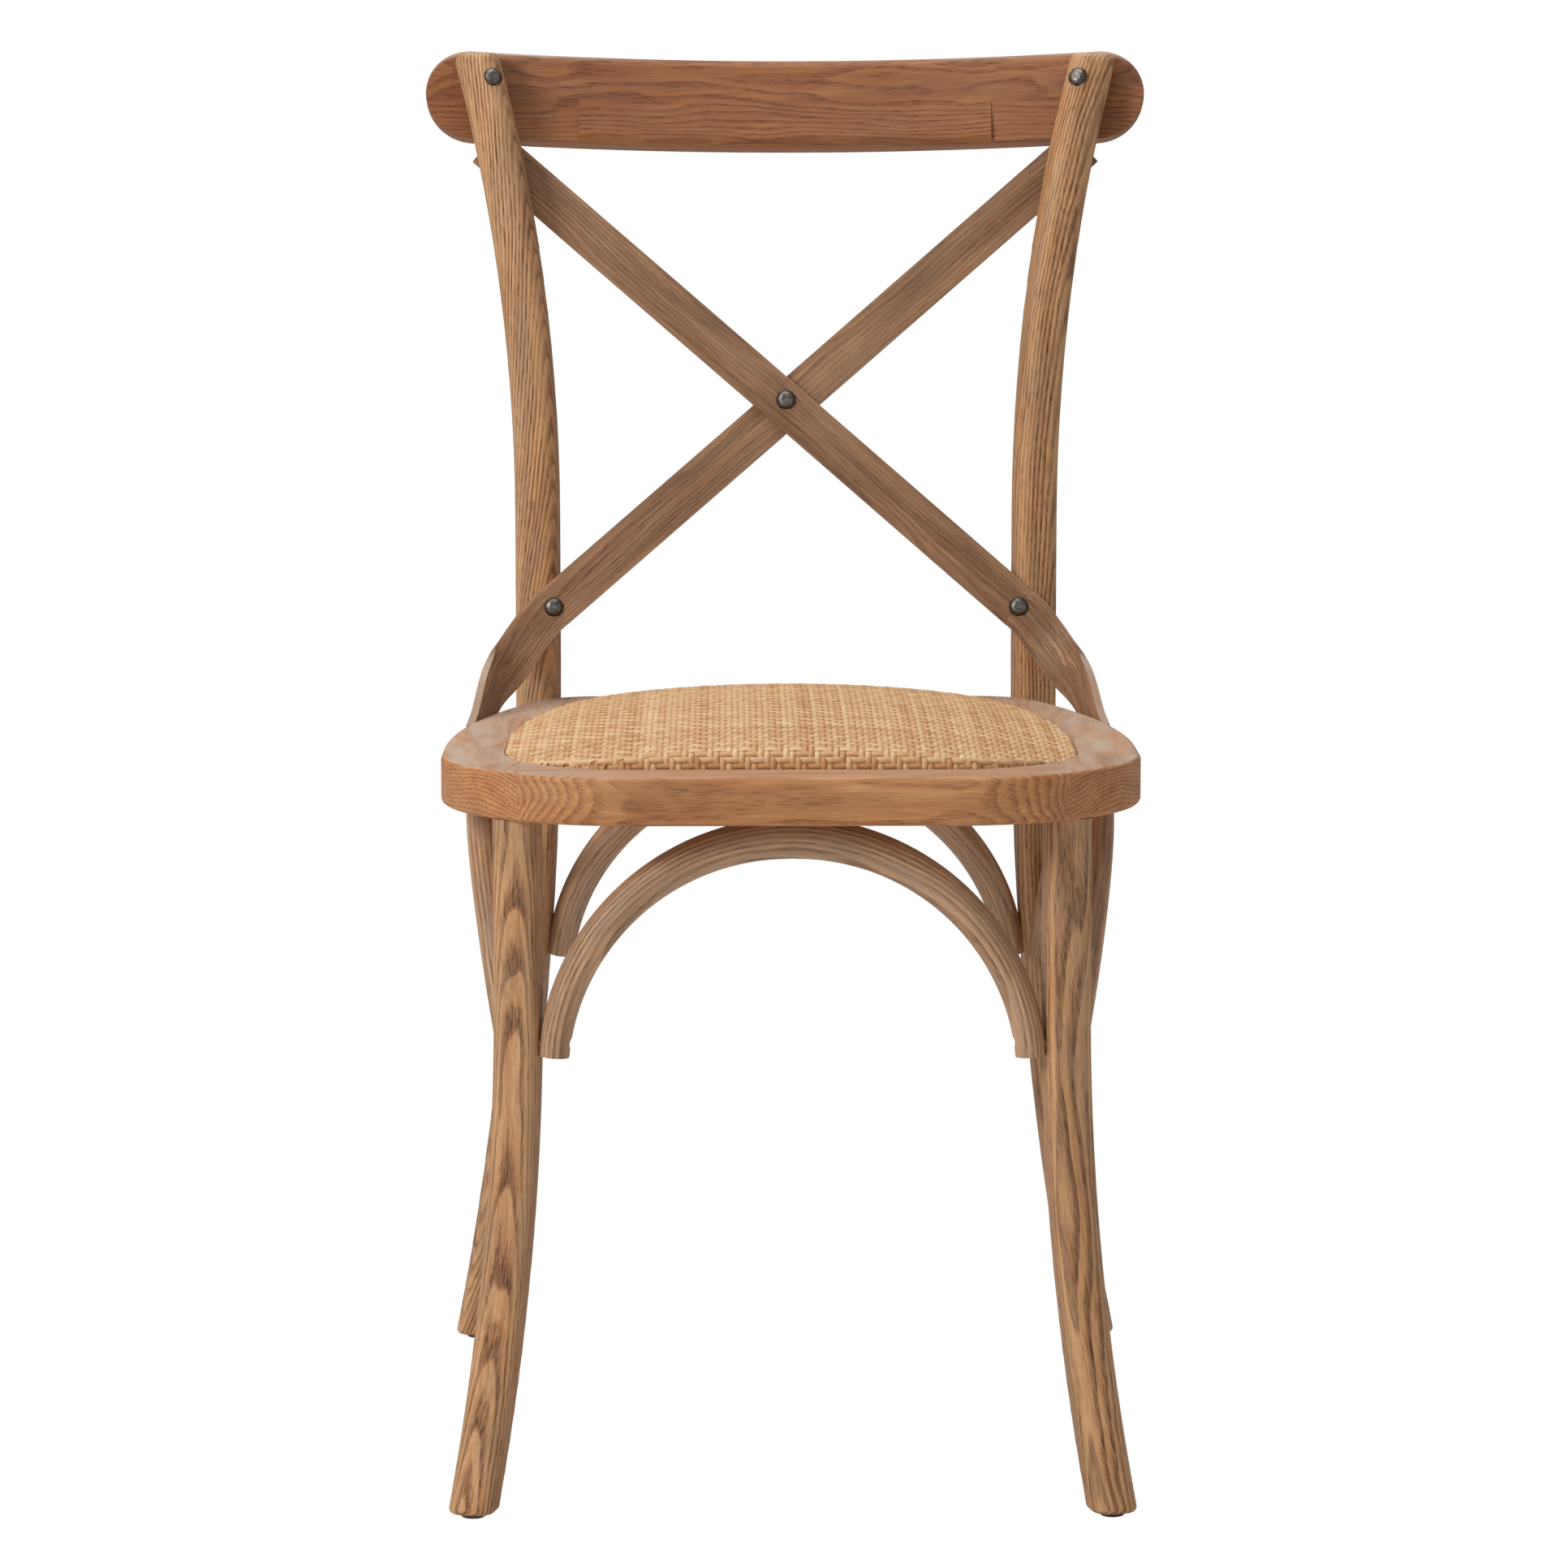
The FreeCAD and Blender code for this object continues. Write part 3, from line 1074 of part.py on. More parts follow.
def make_crest_rivets():
    rivets = []
    height = post_top - size["crest_rivet_drop"]
    slope = math.asin((height - post_high_bend) / high_radius)
    sweep = math.radians(post_sweep_angle)
    axis = V(math.sin(slope) * math.cos(sweep), math.sin(slope) * math.sin(sweep), math.cos(slope))
    turn = math.radians(size["crest_rivet_turn"])
    outward = V(-math.sin(turn), -math.cos(turn), 0)
    outward = (outward - axis * outward.dot(axis)).normalize()
    reach = section_reach(size["crest_rivet_turn"] + size["leg_turn"]) - size["rivet_sink"]
    for side, word in SIDES:
        base = side_of(post_axis(height) + outward * reach, side)
        solid, hole = rivet(f"{word}_crest_rivet", base, side_of(outward, side), "<crest_rivet_length>")
        rivets.append(solid)
        post_cuts[word].append(hole)
        crest_cuts.append(hole)
    return group("crest_rivets", *rivets)


def make_cross_rivet():
    rise = strap_normal.cross(V(1, 0, 0)) * size["cross_rivet_rise"]
    base = strap_cross + rise + strap_normal * size["strap_thickness"]
    solid, hole = rivet("cross_rivet", base, strap_normal, "2 * <strap_thickness>", True)
    strap_cuts["front"].append(hole)
    strap_cuts["rear"].append(hole)
    return solid


def make_strap_post_rivets():
    rivets = []
    for side, word in SIDES:
        base = side_of(strap_low + strap_normal * strap_half, side)
        solid, hole = rivet(f"{word}_strap_rivet", base, strap_normal, "<strap_rivet_length>")
        rivets.append(solid)
        post_cuts[word].append(hole)
        strap_cuts[strap_below[word]].append(hole)
    return group("strap_post_rivets", *rivets)


def make_strap_top_screws():
    screws = []
    top = strap_high + strap_line * size["strap_top_screw_inset"] - strap_normal * strap_half
    for side, word in SIDES:
        place = side_of(top, -side)
        solid, hole = screw(f"{word}_strap_top_screw", place, strap_normal, "strap_screw_length")
        screws.append(solid)
        post_cuts[word].append(hole)
        strap_cuts[strap_above[word]].append(hole)
    return group("strap_top_screws", *screws)


def make_strap_end_screws():
    screws = []
    top = strap_end - strap_fall * size["strap_screw_inset"] + strap_side * strap_half
    for side, word in SIDES:
        inward = side_of(strap_side * -1, side)
        solid, hole = screw(f"{word}_strap_end_screw", side_of(top, side), inward, "strap_screw_length")
        screws.append(solid)
        rail_cuts[word].append(hole)
        strap_cuts[strap_below[word]].append(hole)
    return group("strap_end_screws", *screws)


def make_post_bolts():
    bolts = []
    nuts = []
    height = (seat_top + seat_under) / 2
    corner = rear_corner(0, size["rear_corner_radius"]) + V(0, 0, height)
    axis = post_axis(height)
    outward = (axis - corner).normalize()
    face_angle = math.degrees(math.atan2(outward.y, outward.x)) - size["leg_turn"]
    head_base = axis + outward * (section_reach(face_angle) - size["bolt_head_height"])
    nut_centre = corner + outward * (size["rear_corner_radius"] - size["nut_depth"])
    length = f"{(head_base - nut_centre).Length} + <nut_diameter>"
    for side, word in SIDES:
        base = side_of(head_base, side)
        heading = side_of(outward, side)
        shank = cylinder(word + "_bolt_shank", "<bolt_diameter>", length, along(base, heading * -1))
        head = cylinder(word + "_bolt_head", "<bolt_head_diameter>", "<bolt_head_height>", along(base, heading))
        bolts.append(fuse(word + "_post_bolt", head, shank))
        bore = cylinder(word + "_bolt_bore", "<bolt_diameter> + 2 * <hole_clearance>", length,
                        along(base, heading * -1))
        recess = cylinder(word + "_bolt_recess", "<bolt_head_diameter> + 2 * <hole_clearance>",
                          "<bolt_head_diameter>", along(base, heading))
        nut_low = side_of(nut_centre, side) - V(0, 0, size["nut_length"] / 2)
        nut = cylinder(word + "_nut_rod", "<nut_diameter>", "<nut_length>", along(nut_low, UP))
        nuts.append(cut(word + "_barrel_nut", nut, bore))
        pocket = cylinder(word + "_nut_pocket", "<nut_diameter> + 2 * <hole_clearance>",
                          "(<seat_thickness> + <nut_length>) / 2",
                          along(V(nut_low.x, nut_low.y, seat_under), UP))
        post_cuts[word] += [bore, recess]
        rail_cuts[word] += [bore, pocket]
    return group("post_bolts", *bolts), group("barrel_nuts", *nuts)


def make_arch_foot_screws():
    screws = []
    inner = size["arch_foot_diameter"] / 2 - size["screw_sink"]
    low = foot_z + size["arch_screw_rise"]
    high = foot_z + size["side_screw_rise"]
    rear_y = post_at_foot.y + size["arch_screw_rise"] * math.tan(math.radians(rear_lean))
    side_x = side_foot_x + size["side_screw_rise"] * math.tan(math.radians(side_lean))
    for side, word in SIDES:
        outward = V(side, 0, 0)
        places = (
            ("front", V(side * (front_leg_x - scribe - inner), front_plane_y, low), outward, leg_cuts, "front"),
            ("rear", V(side * (post_at_foot.x - scribe - inner), rear_y, low), outward, post_cuts, "rear"),
            ("side_front", V(side * side_x, side_front_y + inner, high), V(0, -1, 0), leg_cuts, word),
            ("side_rear", V(side * side_x, side_rear_y - inner, high), V(0, 1, 0), post_cuts, word),
        )
        for tag, top, inward, legs_cut, arch in places:
            solid, hole = screw(f"{word}_{tag}_foot_screw", top, inward, "arch_screw_length")
            screws.append(solid)
            legs_cut[word].append(hole)
            arch_cuts[arch].append(hole)
    return group("arch_foot_screws", *screws)


def make_arch_crown_screws():
    screws = []
    deep = size["screw_sink"] - size["arch_crown_diameter"] / 2
    side_deep = size["screw_sink"] - size["side_arch_diameter"] / 2
    places = [("front", V(0, front_plane_y, front_crown_z + deep)),
              ("rear", V(0, rear_crown_y, front_crown_z + deep))]
    for side, word in SIDES:
        places.append((word, V(side * side_crown_x, side_middle_y, side_crown_z + side_deep)))
    for rail, top in places:
        solid, hole = screw(rail + "_crown_screw", top, UP, "crown_screw_length")
        screws.append(solid)
        arch_cuts[rail].append(hole)
        rail_cuts[rail].append(hole)
    return group("arch_crown_screws", *screws)


def make_board_screws():
    screws = []
    inset = size["frame_margin"] + size["ledge_width"] - size["board_screw_setback"]
    for rail, reach, y in (("front", size["board_screw_front"], seat_front + inset),
                           ("rear", size["board_screw_rear"], seat_rear - inset)):
        for side, word in SIDES:
            top = V(side * reach, y, seat_under)
            solid, hole = screw(f"{rail}_{word}_board_screw", top, UP, "board_screw_length")
            screws.append(solid)
            rail_cuts[rail].append(hole)
            board_cuts.append(hole)
    return group("board_screws", *screws)


def make_glides():
    glides = []
    for holders, cuts, kind in ((front_legs, leg_cuts, "leg"), (posts, post_cuts, "post")):
        for side, word in SIDES:
            foot = holders[word][1]
            name = f"{word}_{kind}_glide"
            rim = doc.addObject("Part::Cone", name + "_rim")
            bind(rim, "Radius1", "<glide_diameter> / 2 - <glide_bevel>")
            bind(rim, "Radius2", "<glide_diameter> / 2")
            bind(rim, "Height", "<glide_bevel>")
            rim.Placement = along(V(foot.x, foot.y, 0), UP)
            start = along(V(foot.x, foot.y, size["glide_bevel"]), UP)
            pad = cylinder(name + "_pad", "<glide_diameter>", "<foot_lift> - <glide_bevel>", start)
            pin = cylinder(name + "_pin", "<glide_pin_diameter>", "<glide_pin_length>", start)
            glides.append(fuse(name, rim, pad, pin))
            cuts[word].append(cylinder(name + "_hole", "<glide_pin_diameter> + 2 * <hole_clearance>",
                                       "<glide_pin_length>", start))
    return group("leg_glides", *glides)


def make_mortises():
    for side, word in SIDES:
        place = along(V(side * front_leg_x, front_leg_y, seat_under), UP)
        hole = cylinder(word + "_mortise", "<leg_tenon_diameter> + 2 * <hole_clearance>", "<leg_tenon_length>", place)
        rail_cuts["front"].append(hole)
        rail_cuts[word].append(hole)
        rail_cuts[word] += list(strap_bodies.values())
        for arch in ("front", word):
            arch_cuts[arch].append(front_legs[word][0])
        for arch in ("rear", word):
            arch_cuts[arch].append(posts[word][0])


# Every piece of the chair

make_mortises()
post_bolts, barrel_nuts = make_post_bolts()
nodes = {
    "rail_dowels": rail_dowels,
    "seat_foam": seat_foam,
    "woven_seat": woven_seat,
    "crest_rivets": make_crest_rivets(),
    "cross_rivet": make_cross_rivet(),
    "strap_post_rivets": make_strap_post_rivets(),
    "strap_top_screws": make_strap_top_screws(),
    "strap_end_screws": make_strap_end_screws(),
    "post_bolts": post_bolts,
    "barrel_nuts": barrel_nuts,
    "arch_foot_screws": make_arch_foot_screws(),
    "arch_crown_screws": make_arch_crown_screws(),
    "board_screws": make_board_screws(),
    "leg_glides": make_glides(),
}
for rail, blank in rail_blanks.items():
    nodes[f"seat_{rail}_rail"] = cut(f"seat_{rail}_rail", blank, *rail_cuts[rail])
for side, word in SIDES:
    nodes[word + "_front_leg"] = cut(word + "_front_leg", front_legs[word][0], *leg_cuts[word])
    nodes[word + "_rear_post"] = cut(word + "_rear_post", posts[word][0], *post_cuts[word])
    nodes[word + "_side_arch"] = cut(word + "_side_arch", side_arch_bodies[word], *arch_cuts[word])
nodes["front_arch"] = cut("front_arch", front_arch_body, *arch_cuts["front"])
nodes["rear_arch"] = cut("rear_arch", rear_arch_body, *arch_cuts["rear"])
nodes["cross_strap_front"] = cut("cross_strap_front", strap_bodies["front"], *strap_cuts["front"])
nodes["cross_strap_rear"] = cut("cross_strap_rear", strap_bodies["rear"], *strap_cuts["rear"])
nodes["crest_rail"] = cut("crest_rail", crest_body, *crest_cuts)
nodes["seat_board"] = cut("seat_board", board_body, *board_cuts)

doc.recompute()
faults = []
for thing in doc.Objects:
    if "Invalid" in thing.State or "Error" in thing.State:
        faults.append(f"{thing.Name} {thing.State}")
for label, thing in nodes.items():
    thing.Label = label
    if thing.Shape.isNull() or not thing.Shape.isValid():
        faults.append(label + " has no sound shape")
if faults:
    raise RuntimeError("; ".join(faults))
os.makedirs("parts", exist_ok=True)
for label, thing in nodes.items():
    thing.Shape.exportStep(f"parts/{label}.step")
    print(label, len(thing.Shape.Solids), round(thing.Shape.Volume))
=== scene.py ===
# %% [markdown]
# This lesson dresses a cross back dining chair. The wooden pieces, screws and bolts come
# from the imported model. Here they get oak, steel and nylon materials whose grain follows
# each bent piece, and the woven cane seat and the rivets are built in full detail.

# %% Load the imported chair
import json
import math

import bmesh
import bpy
import numpy as np
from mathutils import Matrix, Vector


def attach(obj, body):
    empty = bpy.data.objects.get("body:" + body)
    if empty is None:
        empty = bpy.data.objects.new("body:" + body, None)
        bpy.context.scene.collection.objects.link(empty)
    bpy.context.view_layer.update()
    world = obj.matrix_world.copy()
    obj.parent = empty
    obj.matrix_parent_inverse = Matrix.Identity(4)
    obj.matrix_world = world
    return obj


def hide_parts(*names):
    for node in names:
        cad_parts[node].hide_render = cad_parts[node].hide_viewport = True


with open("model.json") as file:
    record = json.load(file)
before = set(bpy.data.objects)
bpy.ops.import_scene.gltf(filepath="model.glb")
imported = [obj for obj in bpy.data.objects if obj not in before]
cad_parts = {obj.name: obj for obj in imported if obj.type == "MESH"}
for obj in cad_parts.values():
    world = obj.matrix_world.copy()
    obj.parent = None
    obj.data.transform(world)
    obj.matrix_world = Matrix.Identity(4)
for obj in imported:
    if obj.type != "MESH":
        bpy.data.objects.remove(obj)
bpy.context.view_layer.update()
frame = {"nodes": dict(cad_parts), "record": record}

nodes = frame["nodes"]

# %% [markdown]
# The sizes that the looks need are the chair's own, in metres: where the legs and posts
# stand, where they bend, the outline of the seat, the crown of its pad, and the places of
# the braces, the crest rail and the straps.

# %% Sizes in metres
SEAT_TOP = 0.457
SEAT_UNDER = 0.427
SEAT_FRONT = -0.264
SEAT_REAR = 0.163
HALF_SEAT = 0.218
SIDE_BEND_Y = SEAT_FRONT + 0.159
SIDE_RADIUS = 0.620
FRONT_CORNER = 0.120
REBATE = 0.0394
OPENING_REAR = 0.060
LEG_PLACE = (0.168, -0.220)
LEG_BEND_Z = 0.315
LEG_SWEEP = (0.028, -0.040)
LEG_HALF = 0.01425
LEG_TURN = math.radians(12)
POST_X = 0.1673
POST_Y = 0.1595
POST_LOW_Z = 0.480
POST_HIGH_Z = 0.580
POST_SWEEP = (0.047, 0.064)
POST_TOP_Z = 0.889
POST_TOP_LEAN = 0.072
FOOT_Z = 0.003
WEAVE_RIM = 0.458
RIM_RISE = 0.019
RIM_REACH = 0.030
CROWN_TOP = 0.4755
CROWN_Y = -0.050
CROWN_DEPTH = 0.300
CROWN_SIDE_RADIUS = 0.926
CROWN_LENGTH_RADIUS = 2.500
CROWN_BLEND = 0.004
BRACE_FOOT_Z = 0.280
BRACE_CROWN_Z = 0.415
FRONT_ARCH_Y = -0.226
REAR_ARCH_FOOT_Y = 0.1705
REAR_ARCH_CROWN_Y = 0.146
SIDE_ARCH_FOOT_X = 0.173
SIDE_ARCH_CROWN = (0.1945, 0.4165)
SIDE_ARCH_Y = -0.0248
SIDE_ARCH_BEND = 0.130
CREST_RADIUS = 1.100
CREST_DROP = 0.037
CREST_HALF_HEIGHT = 0.031
STRAP_LOW = np.array([POST_X - 0.011, 0.14296, SEAT_TOP + 0.062])
STRAP_HIGH = np.array([-POST_X - 0.0347, 0.21298, 0.82618])
STRAP_KNEE = STRAP_LOW + (0.026, -0.0175, -0.031)
STRAP_END_Y = SEAT_REAR - 0.1394
STRAP_END_Z = SEAT_TOP - 0.015
STRAP_LANDING = 0.063
STRAP_FALL = math.radians(30)
STRAP_HALF_THICKNESS = 0.0025


def sweep_radius(reach, height):
    """Radius of an arc that leaves the vertical and ends reach aside after this height."""
    return (height * height + reach * reach) / (2 * reach)


LEG_RADIUS = sweep_radius(math.hypot(*LEG_SWEEP), LEG_BEND_Z - FOOT_Z)
POST_LOW_RADIUS = sweep_radius(math.hypot(*POST_SWEEP), POST_LOW_Z - FOOT_Z)
POST_HIGH_RADIUS = sweep_radius(POST_TOP_LEAN, POST_TOP_Z - POST_HIGH_Z)
print("bend radii", [round(r, 3) for r in (LEG_RADIUS, POST_LOW_RADIUS, POST_HIGH_RADIUS)])

# %% [markdown]
# Wood grain runs along each piece, round its bends too. Every oak piece gets an attribute
# called grain on its points: the length along the piece, and two distances across it,
# measured from a pith that lies beside the piece. A second one, edge, is 1 on the
# outermost corners, where the finish has rubbed through, and a third is 1 on the faces
# that look up: it places a pale painted sheen, the light they catch from above.

# %% Grain along every oak piece
RING_SHIFT = 3.7
EDGE_GAIN = 2.2
EDGE_START = 2.9


def fade(values, start, end):
    """0 up to the start, 1 from the end on, and even in between."""
    return np.clip((values - start) / (end - start), 0, 1)


def points_of(piece):
    """The vertices of a CAD node as an array, in metres."""
    flat = np.empty(3 * len(piece.data.vertices))
    piece.data.vertices.foreach_get("co", flat)
    return flat.reshape(-1, 3)


def top_sheen_mask(piece):
    """Where the pale painted sheen goes: 1 on faces that look up, less near the middle of the chair, 0 on
    upright ones.
    """
    normals = np.empty(3 * len(piece.data.vertices))
    piece.data.vertex_normals.foreach_get("vector", normals)
    aside = fade(np.abs(points_of(piece)[:, 0]), 0.09, 0.18)
    return fade(normals[2::3], 0.75, 0.95) * (0.3 + 0.7 * aside)


def store(mesh, name, values):
    """Keep one number or one vector for each point of a mesh."""
    kind, field = ("FLOAT", "value") if values.ndim == 1 else ("FLOAT_VECTOR", "vector")
    mesh.attributes.new(name, kind, "POINT").data.foreach_set(field, values.ravel())


def keep_grain(piece, along, across, deep, pith, edge=None):
    """Store the grain coordinates. pith is where the tree's heart lies across the piece,
    and how far it drifts aside per metre of length, which draws the arches."""
    beside, behind, drift = pith
    start = RING_SHIFT * beside
    grain = [along + start, across - beside - drift * along, deep - behind - drift * along]
    store(piece.data, "grain", np.stack(grain, axis=1))
    store(piece.data, "edge", np.zeros(len(along)) if edge is None else np.clip(edge, 0, 1))
    store(piece.data, "sheen_on_top", top_sheen_mask(piece))


def bend_away(reach, height, radius):
    """Length along an arc that leaves the vertical, and distance aside from its line."""
    angle = np.arctan2(height, radius - reach)
    return radius * angle, radius - np.hypot(radius - reach, height)


def turn_axes(level, up, angle):
    """Two distances measured along axes that are turned by an angle."""
    return (level * math.cos(angle) + up * math.sin(angle),
            up * math.cos(angle) - level * math.sin(angle))


def section_edge(across, deep, turn):
    """1 at the corners of a square section that is turned, 0 in the middle of its faces."""
    a, b = turn_axes(across, deep, turn)
    return (np.abs(a) + np.abs(b)) / LEG_HALF * EDGE_GAIN - EDGE_START


def beside_leg(p, side, place, sweep):
    """Distances from a leg's upright line, along its sweep and across it, and its turn."""
    heading = np.array([side * sweep[0], sweep[1]]) / math.hypot(*sweep)
    offset = p[:, :2] - np.array([side * place[0], place[1]])
    turn = side * LEG_TURN - math.atan2(heading[1], heading[0])
    return offset @ heading, offset @ np.array([-heading[1], heading[0]]), turn


def leg_grain(piece, side, pith):
    """A front leg: straight at the top, and swept forwards and outwards below the bend."""
    p = points_of(piece)
    reach, deep, turn = beside_leg(p, side, LEG_PLACE, LEG_SWEEP)
    length, aside = bend_away(reach, LEG_BEND_Z - p[:, 2], LEG_RADIUS)
    bent = p[:, 2] < LEG_BEND_Z
    along = np.where(bent, -length, p[:, 2] - LEG_BEND_Z)
    across = np.where(bent, aside, reach)
    keep_grain(piece, along, across, deep, pith, section_edge(across, deep, turn))


def post_grain(piece, side, pith):
    """A rear post: straight behind the seat, and swept back above and below it."""
    p = points_of(piece)
    reach, deep, turn = beside_leg(p, side, (POST_X, POST_Y), POST_SWEEP)
    low_length, low_aside = bend_away(reach, POST_LOW_Z - p[:, 2], POST_LOW_RADIUS)
    high_length, high_aside = bend_away(reach, p[:, 2] - POST_HIGH_Z, POST_HIGH_RADIUS)
    low = p[:, 2] < POST_LOW_Z
    high = p[:, 2] > POST_HIGH_Z
    upwards = np.where(high, POST_HIGH_Z + high_length, p[:, 2])
    along = np.where(low, POST_LOW_Z - low_length, upwards)
    across = np.where(low, low_aside, np.where(high, high_aside, reach))
    edge = section_edge(across, deep, turn)
    top = 0.8 * fade(p[:, 2], POST_TOP_Z - 0.012, POST_TOP_Z)
    keep_grain(piece, along, across, deep, pith, np.maximum(edge, top))


def rail_grain(piece, lengthwise, pith):
    """A straight rail of the seat, along x (0) or y (1), with its outer top edge worn."""
    p = points_of(piece)
    depth = np.abs(p[:, 1] - CROWN_Y) / (CROWN_Y - SEAT_FRONT)
    outer = np.maximum(np.abs(p[:, 0]) / HALF_SEAT, depth)
    edge = fade(outer, 0.93, 1.0) * fade(p[:, 2], SEAT_TOP - 0.006, SEAT_TOP)
    across = np.abs(p[:, 0]) - HALF_SEAT if lengthwise else p[:, 1] - SEAT_FRONT
    keep_grain(piece, p[:, lengthwise], across, p[:, 2] - SEAT_UNDER, pith, edge)


def round_brace(piece, level, up, out, half, rise, pith):
    """A rod bent to one arc. level and up are measured from the middle of its feet."""
    radius = (half * half + rise * rise) / (2 * rise)
    along = radius * np.arctan2(np.abs(level), up - rise + radius)
    across = np.hypot(level, up - rise + radius) - radius
    keep_grain(piece, np.sign(level) * along, across, out, pith)


def flat_brace(piece, level, up, out, half, rise, radius, pith):
    """A rod with a straight crown, a bend of this radius at each end and straight feet."""
    beside = np.abs(level)
    reach = half - radius
    height = rise - radius
    angle = np.arctan2(beside - reach, up - height)
    foot = reach + radius * math.pi / 2 + height - up
    stand = up < height
    flat = beside < reach
    along = np.where(flat, beside, np.where(stand, foot, reach + radius * angle))
    bend = np.hypot(beside - reach, up - height) - radius
    across = np.where(flat, up - rise, np.where(stand, beside - half, bend))
    keep_grain(piece, np.sign(level) * along, across, out, pith)


leg_grain(nodes["left_front_leg"], -1, (0.046, 0.020, 0.035))
leg_grain(nodes["right_front_leg"], 1, (-0.042, 0.028, -0.045))
post_grain(nodes["left_rear_post"], -1, (0.012, 0.055, -0.110))
post_grain(nodes["right_rear_post"], 1, (0.050, -0.036, -0.060))
rail_grain(nodes["seat_front_rail"], 0, (0.045, 0.017, 0.012))
rail_grain(nodes["seat_rear_rail"], 0, (0.350, -0.020, 0.0))
rail_grain(nodes["seat_left_rail"], 1, (-0.020, -0.044, 0.020))
rail_grain(nodes["seat_right_rail"], 1, (-0.018, -0.057, -0.020))

p = points_of(nodes["front_arch"])
round_brace(nodes["front_arch"], p[:, 0], p[:, 2] - BRACE_FOOT_Z, p[:, 1] - FRONT_ARCH_Y,
            0.146, BRACE_CROWN_Z - BRACE_FOOT_Z, (0.026, 0.012, 0.0))

p = points_of(nodes["rear_arch"])
lean = math.atan2(REAR_ARCH_FOOT_Y - REAR_ARCH_CROWN_Y, BRACE_CROWN_Z - BRACE_FOOT_Z)
out, up = turn_axes(p[:, 1] - REAR_ARCH_FOOT_Y, p[:, 2] - BRACE_FOOT_Z, lean)
round_brace(nodes["rear_arch"], p[:, 0], up, out, 0.1535, 0.1372, (0.021, -0.022, 0.0))

lean = math.atan2(SIDE_ARCH_CROWN[0] - SIDE_ARCH_FOOT_X, SIDE_ARCH_CROWN[1] - BRACE_FOOT_Z)
for side, word in ((-1, "left"), (1, "right")):
    piece = nodes[word + "_side_arch"]
    p = points_of(piece)
    out, up = turn_axes(side * p[:, 0] - SIDE_ARCH_FOOT_X, p[:, 2] - BRACE_FOOT_Z, -lean)
    flat_brace(piece, p[:, 1] - SIDE_ARCH_Y, up, out, 0.1735, 0.1382, SIDE_ARCH_BEND,
               (0.019 + 0.01 * side, 0.024, 0.0))
print("grain on", sum("grain" in piece.data.attributes for piece in nodes.values()), "pieces")

# %% [markdown]
# The crest rail is bowed and leans with the posts, and the two straps cross behind the
# sitter and then bend round to the seat. Their grain follows those shapes.

# %% Grain of the crest rail and the straps
def crest_grain(piece, pith):
    """The crest rail: bowed to an arc and leaning back with the posts."""
    p = points_of(piece)
    crest_z = POST_TOP_Z - CREST_DROP
    slope = math.asin((crest_z - POST_HIGH_Z) / POST_HIGH_RADIUS)
    lean = math.atan(math.tan(slope) * math.sin(math.atan2(POST_SWEEP[1], POST_SWEEP[0])))
    core = p[np.abs(p[:, 0]) < 0.05]
    reach = p[:, 1] - (core[:, 1].min() + core[:, 1].max()) / 2
    deep, tall = turn_axes(reach, p[:, 2] - crest_z, -lean)
    bow = np.arctan2(p[:, 0], deep + CREST_RADIUS)
    aside = np.hypot(p[:, 0], deep + CREST_RADIUS) - CREST_RADIUS
    edge = 0.5 * fade(np.abs(tall), CREST_HALF_HEIGHT - 0.007, CREST_HALF_HEIGHT)
    keep_grain(piece, CREST_RADIUS * bow, tall, aside, pith, edge)


strap_length = np.linalg.norm(STRAP_LOW - STRAP_HIGH)
strap_line = (STRAP_LOW - STRAP_HIGH) / strap_length
strap_face = np.array([0, STRAP_LOW[2] - STRAP_HIGH[2], STRAP_HIGH[1] - STRAP_LOW[1]])
strap_face = strap_face / np.linalg.norm(strap_face)
strap_side = np.cross(strap_line, strap_face)


def hermite(a, b, leaving, arriving):
    """Points of a smooth curve from a up to b, with its directions at both ends."""
    span = np.linalg.norm(b - a)
    t = np.linspace(0, 1, 12, endpoint=False)[:, None]
    near = 2 * t ** 3 - 3 * t ** 2 + 1
    out = (t ** 3 - 2 * t ** 2 + t) * span
    back = (t ** 3 - t ** 2) * span
    return near * a + out * leaving + (1 - near) * b + back * arriving


def strap_bend():
    """Middle line of the bent end, from the rivet to the seat's side."""
    centre_x = HALF_SEAT - SIDE_RADIUS
    forward = STRAP_END_Y - SIDE_BEND_Y
    reach = math.sqrt(SIDE_RADIUS ** 2 - forward ** 2)
    side = np.array([reach, forward, 0]) / SIDE_RADIUS
    end = np.array([centre_x + reach, STRAP_END_Y, STRAP_END_Z]) + 0.0015 * side
    level = math.cos(STRAP_FALL)
    down = np.array([side[1] * level, -side[0] * level, -math.sin(STRAP_FALL)])
    landing = end - STRAP_LANDING * down
    slant = (landing - STRAP_LOW) / np.linalg.norm(landing - STRAP_LOW)
    return np.concatenate([hermite(STRAP_LOW, STRAP_KNEE, strap_line, slant),
                           hermite(STRAP_KNEE, landing, slant, down),
                           hermite(landing, end, down, down), [end]])


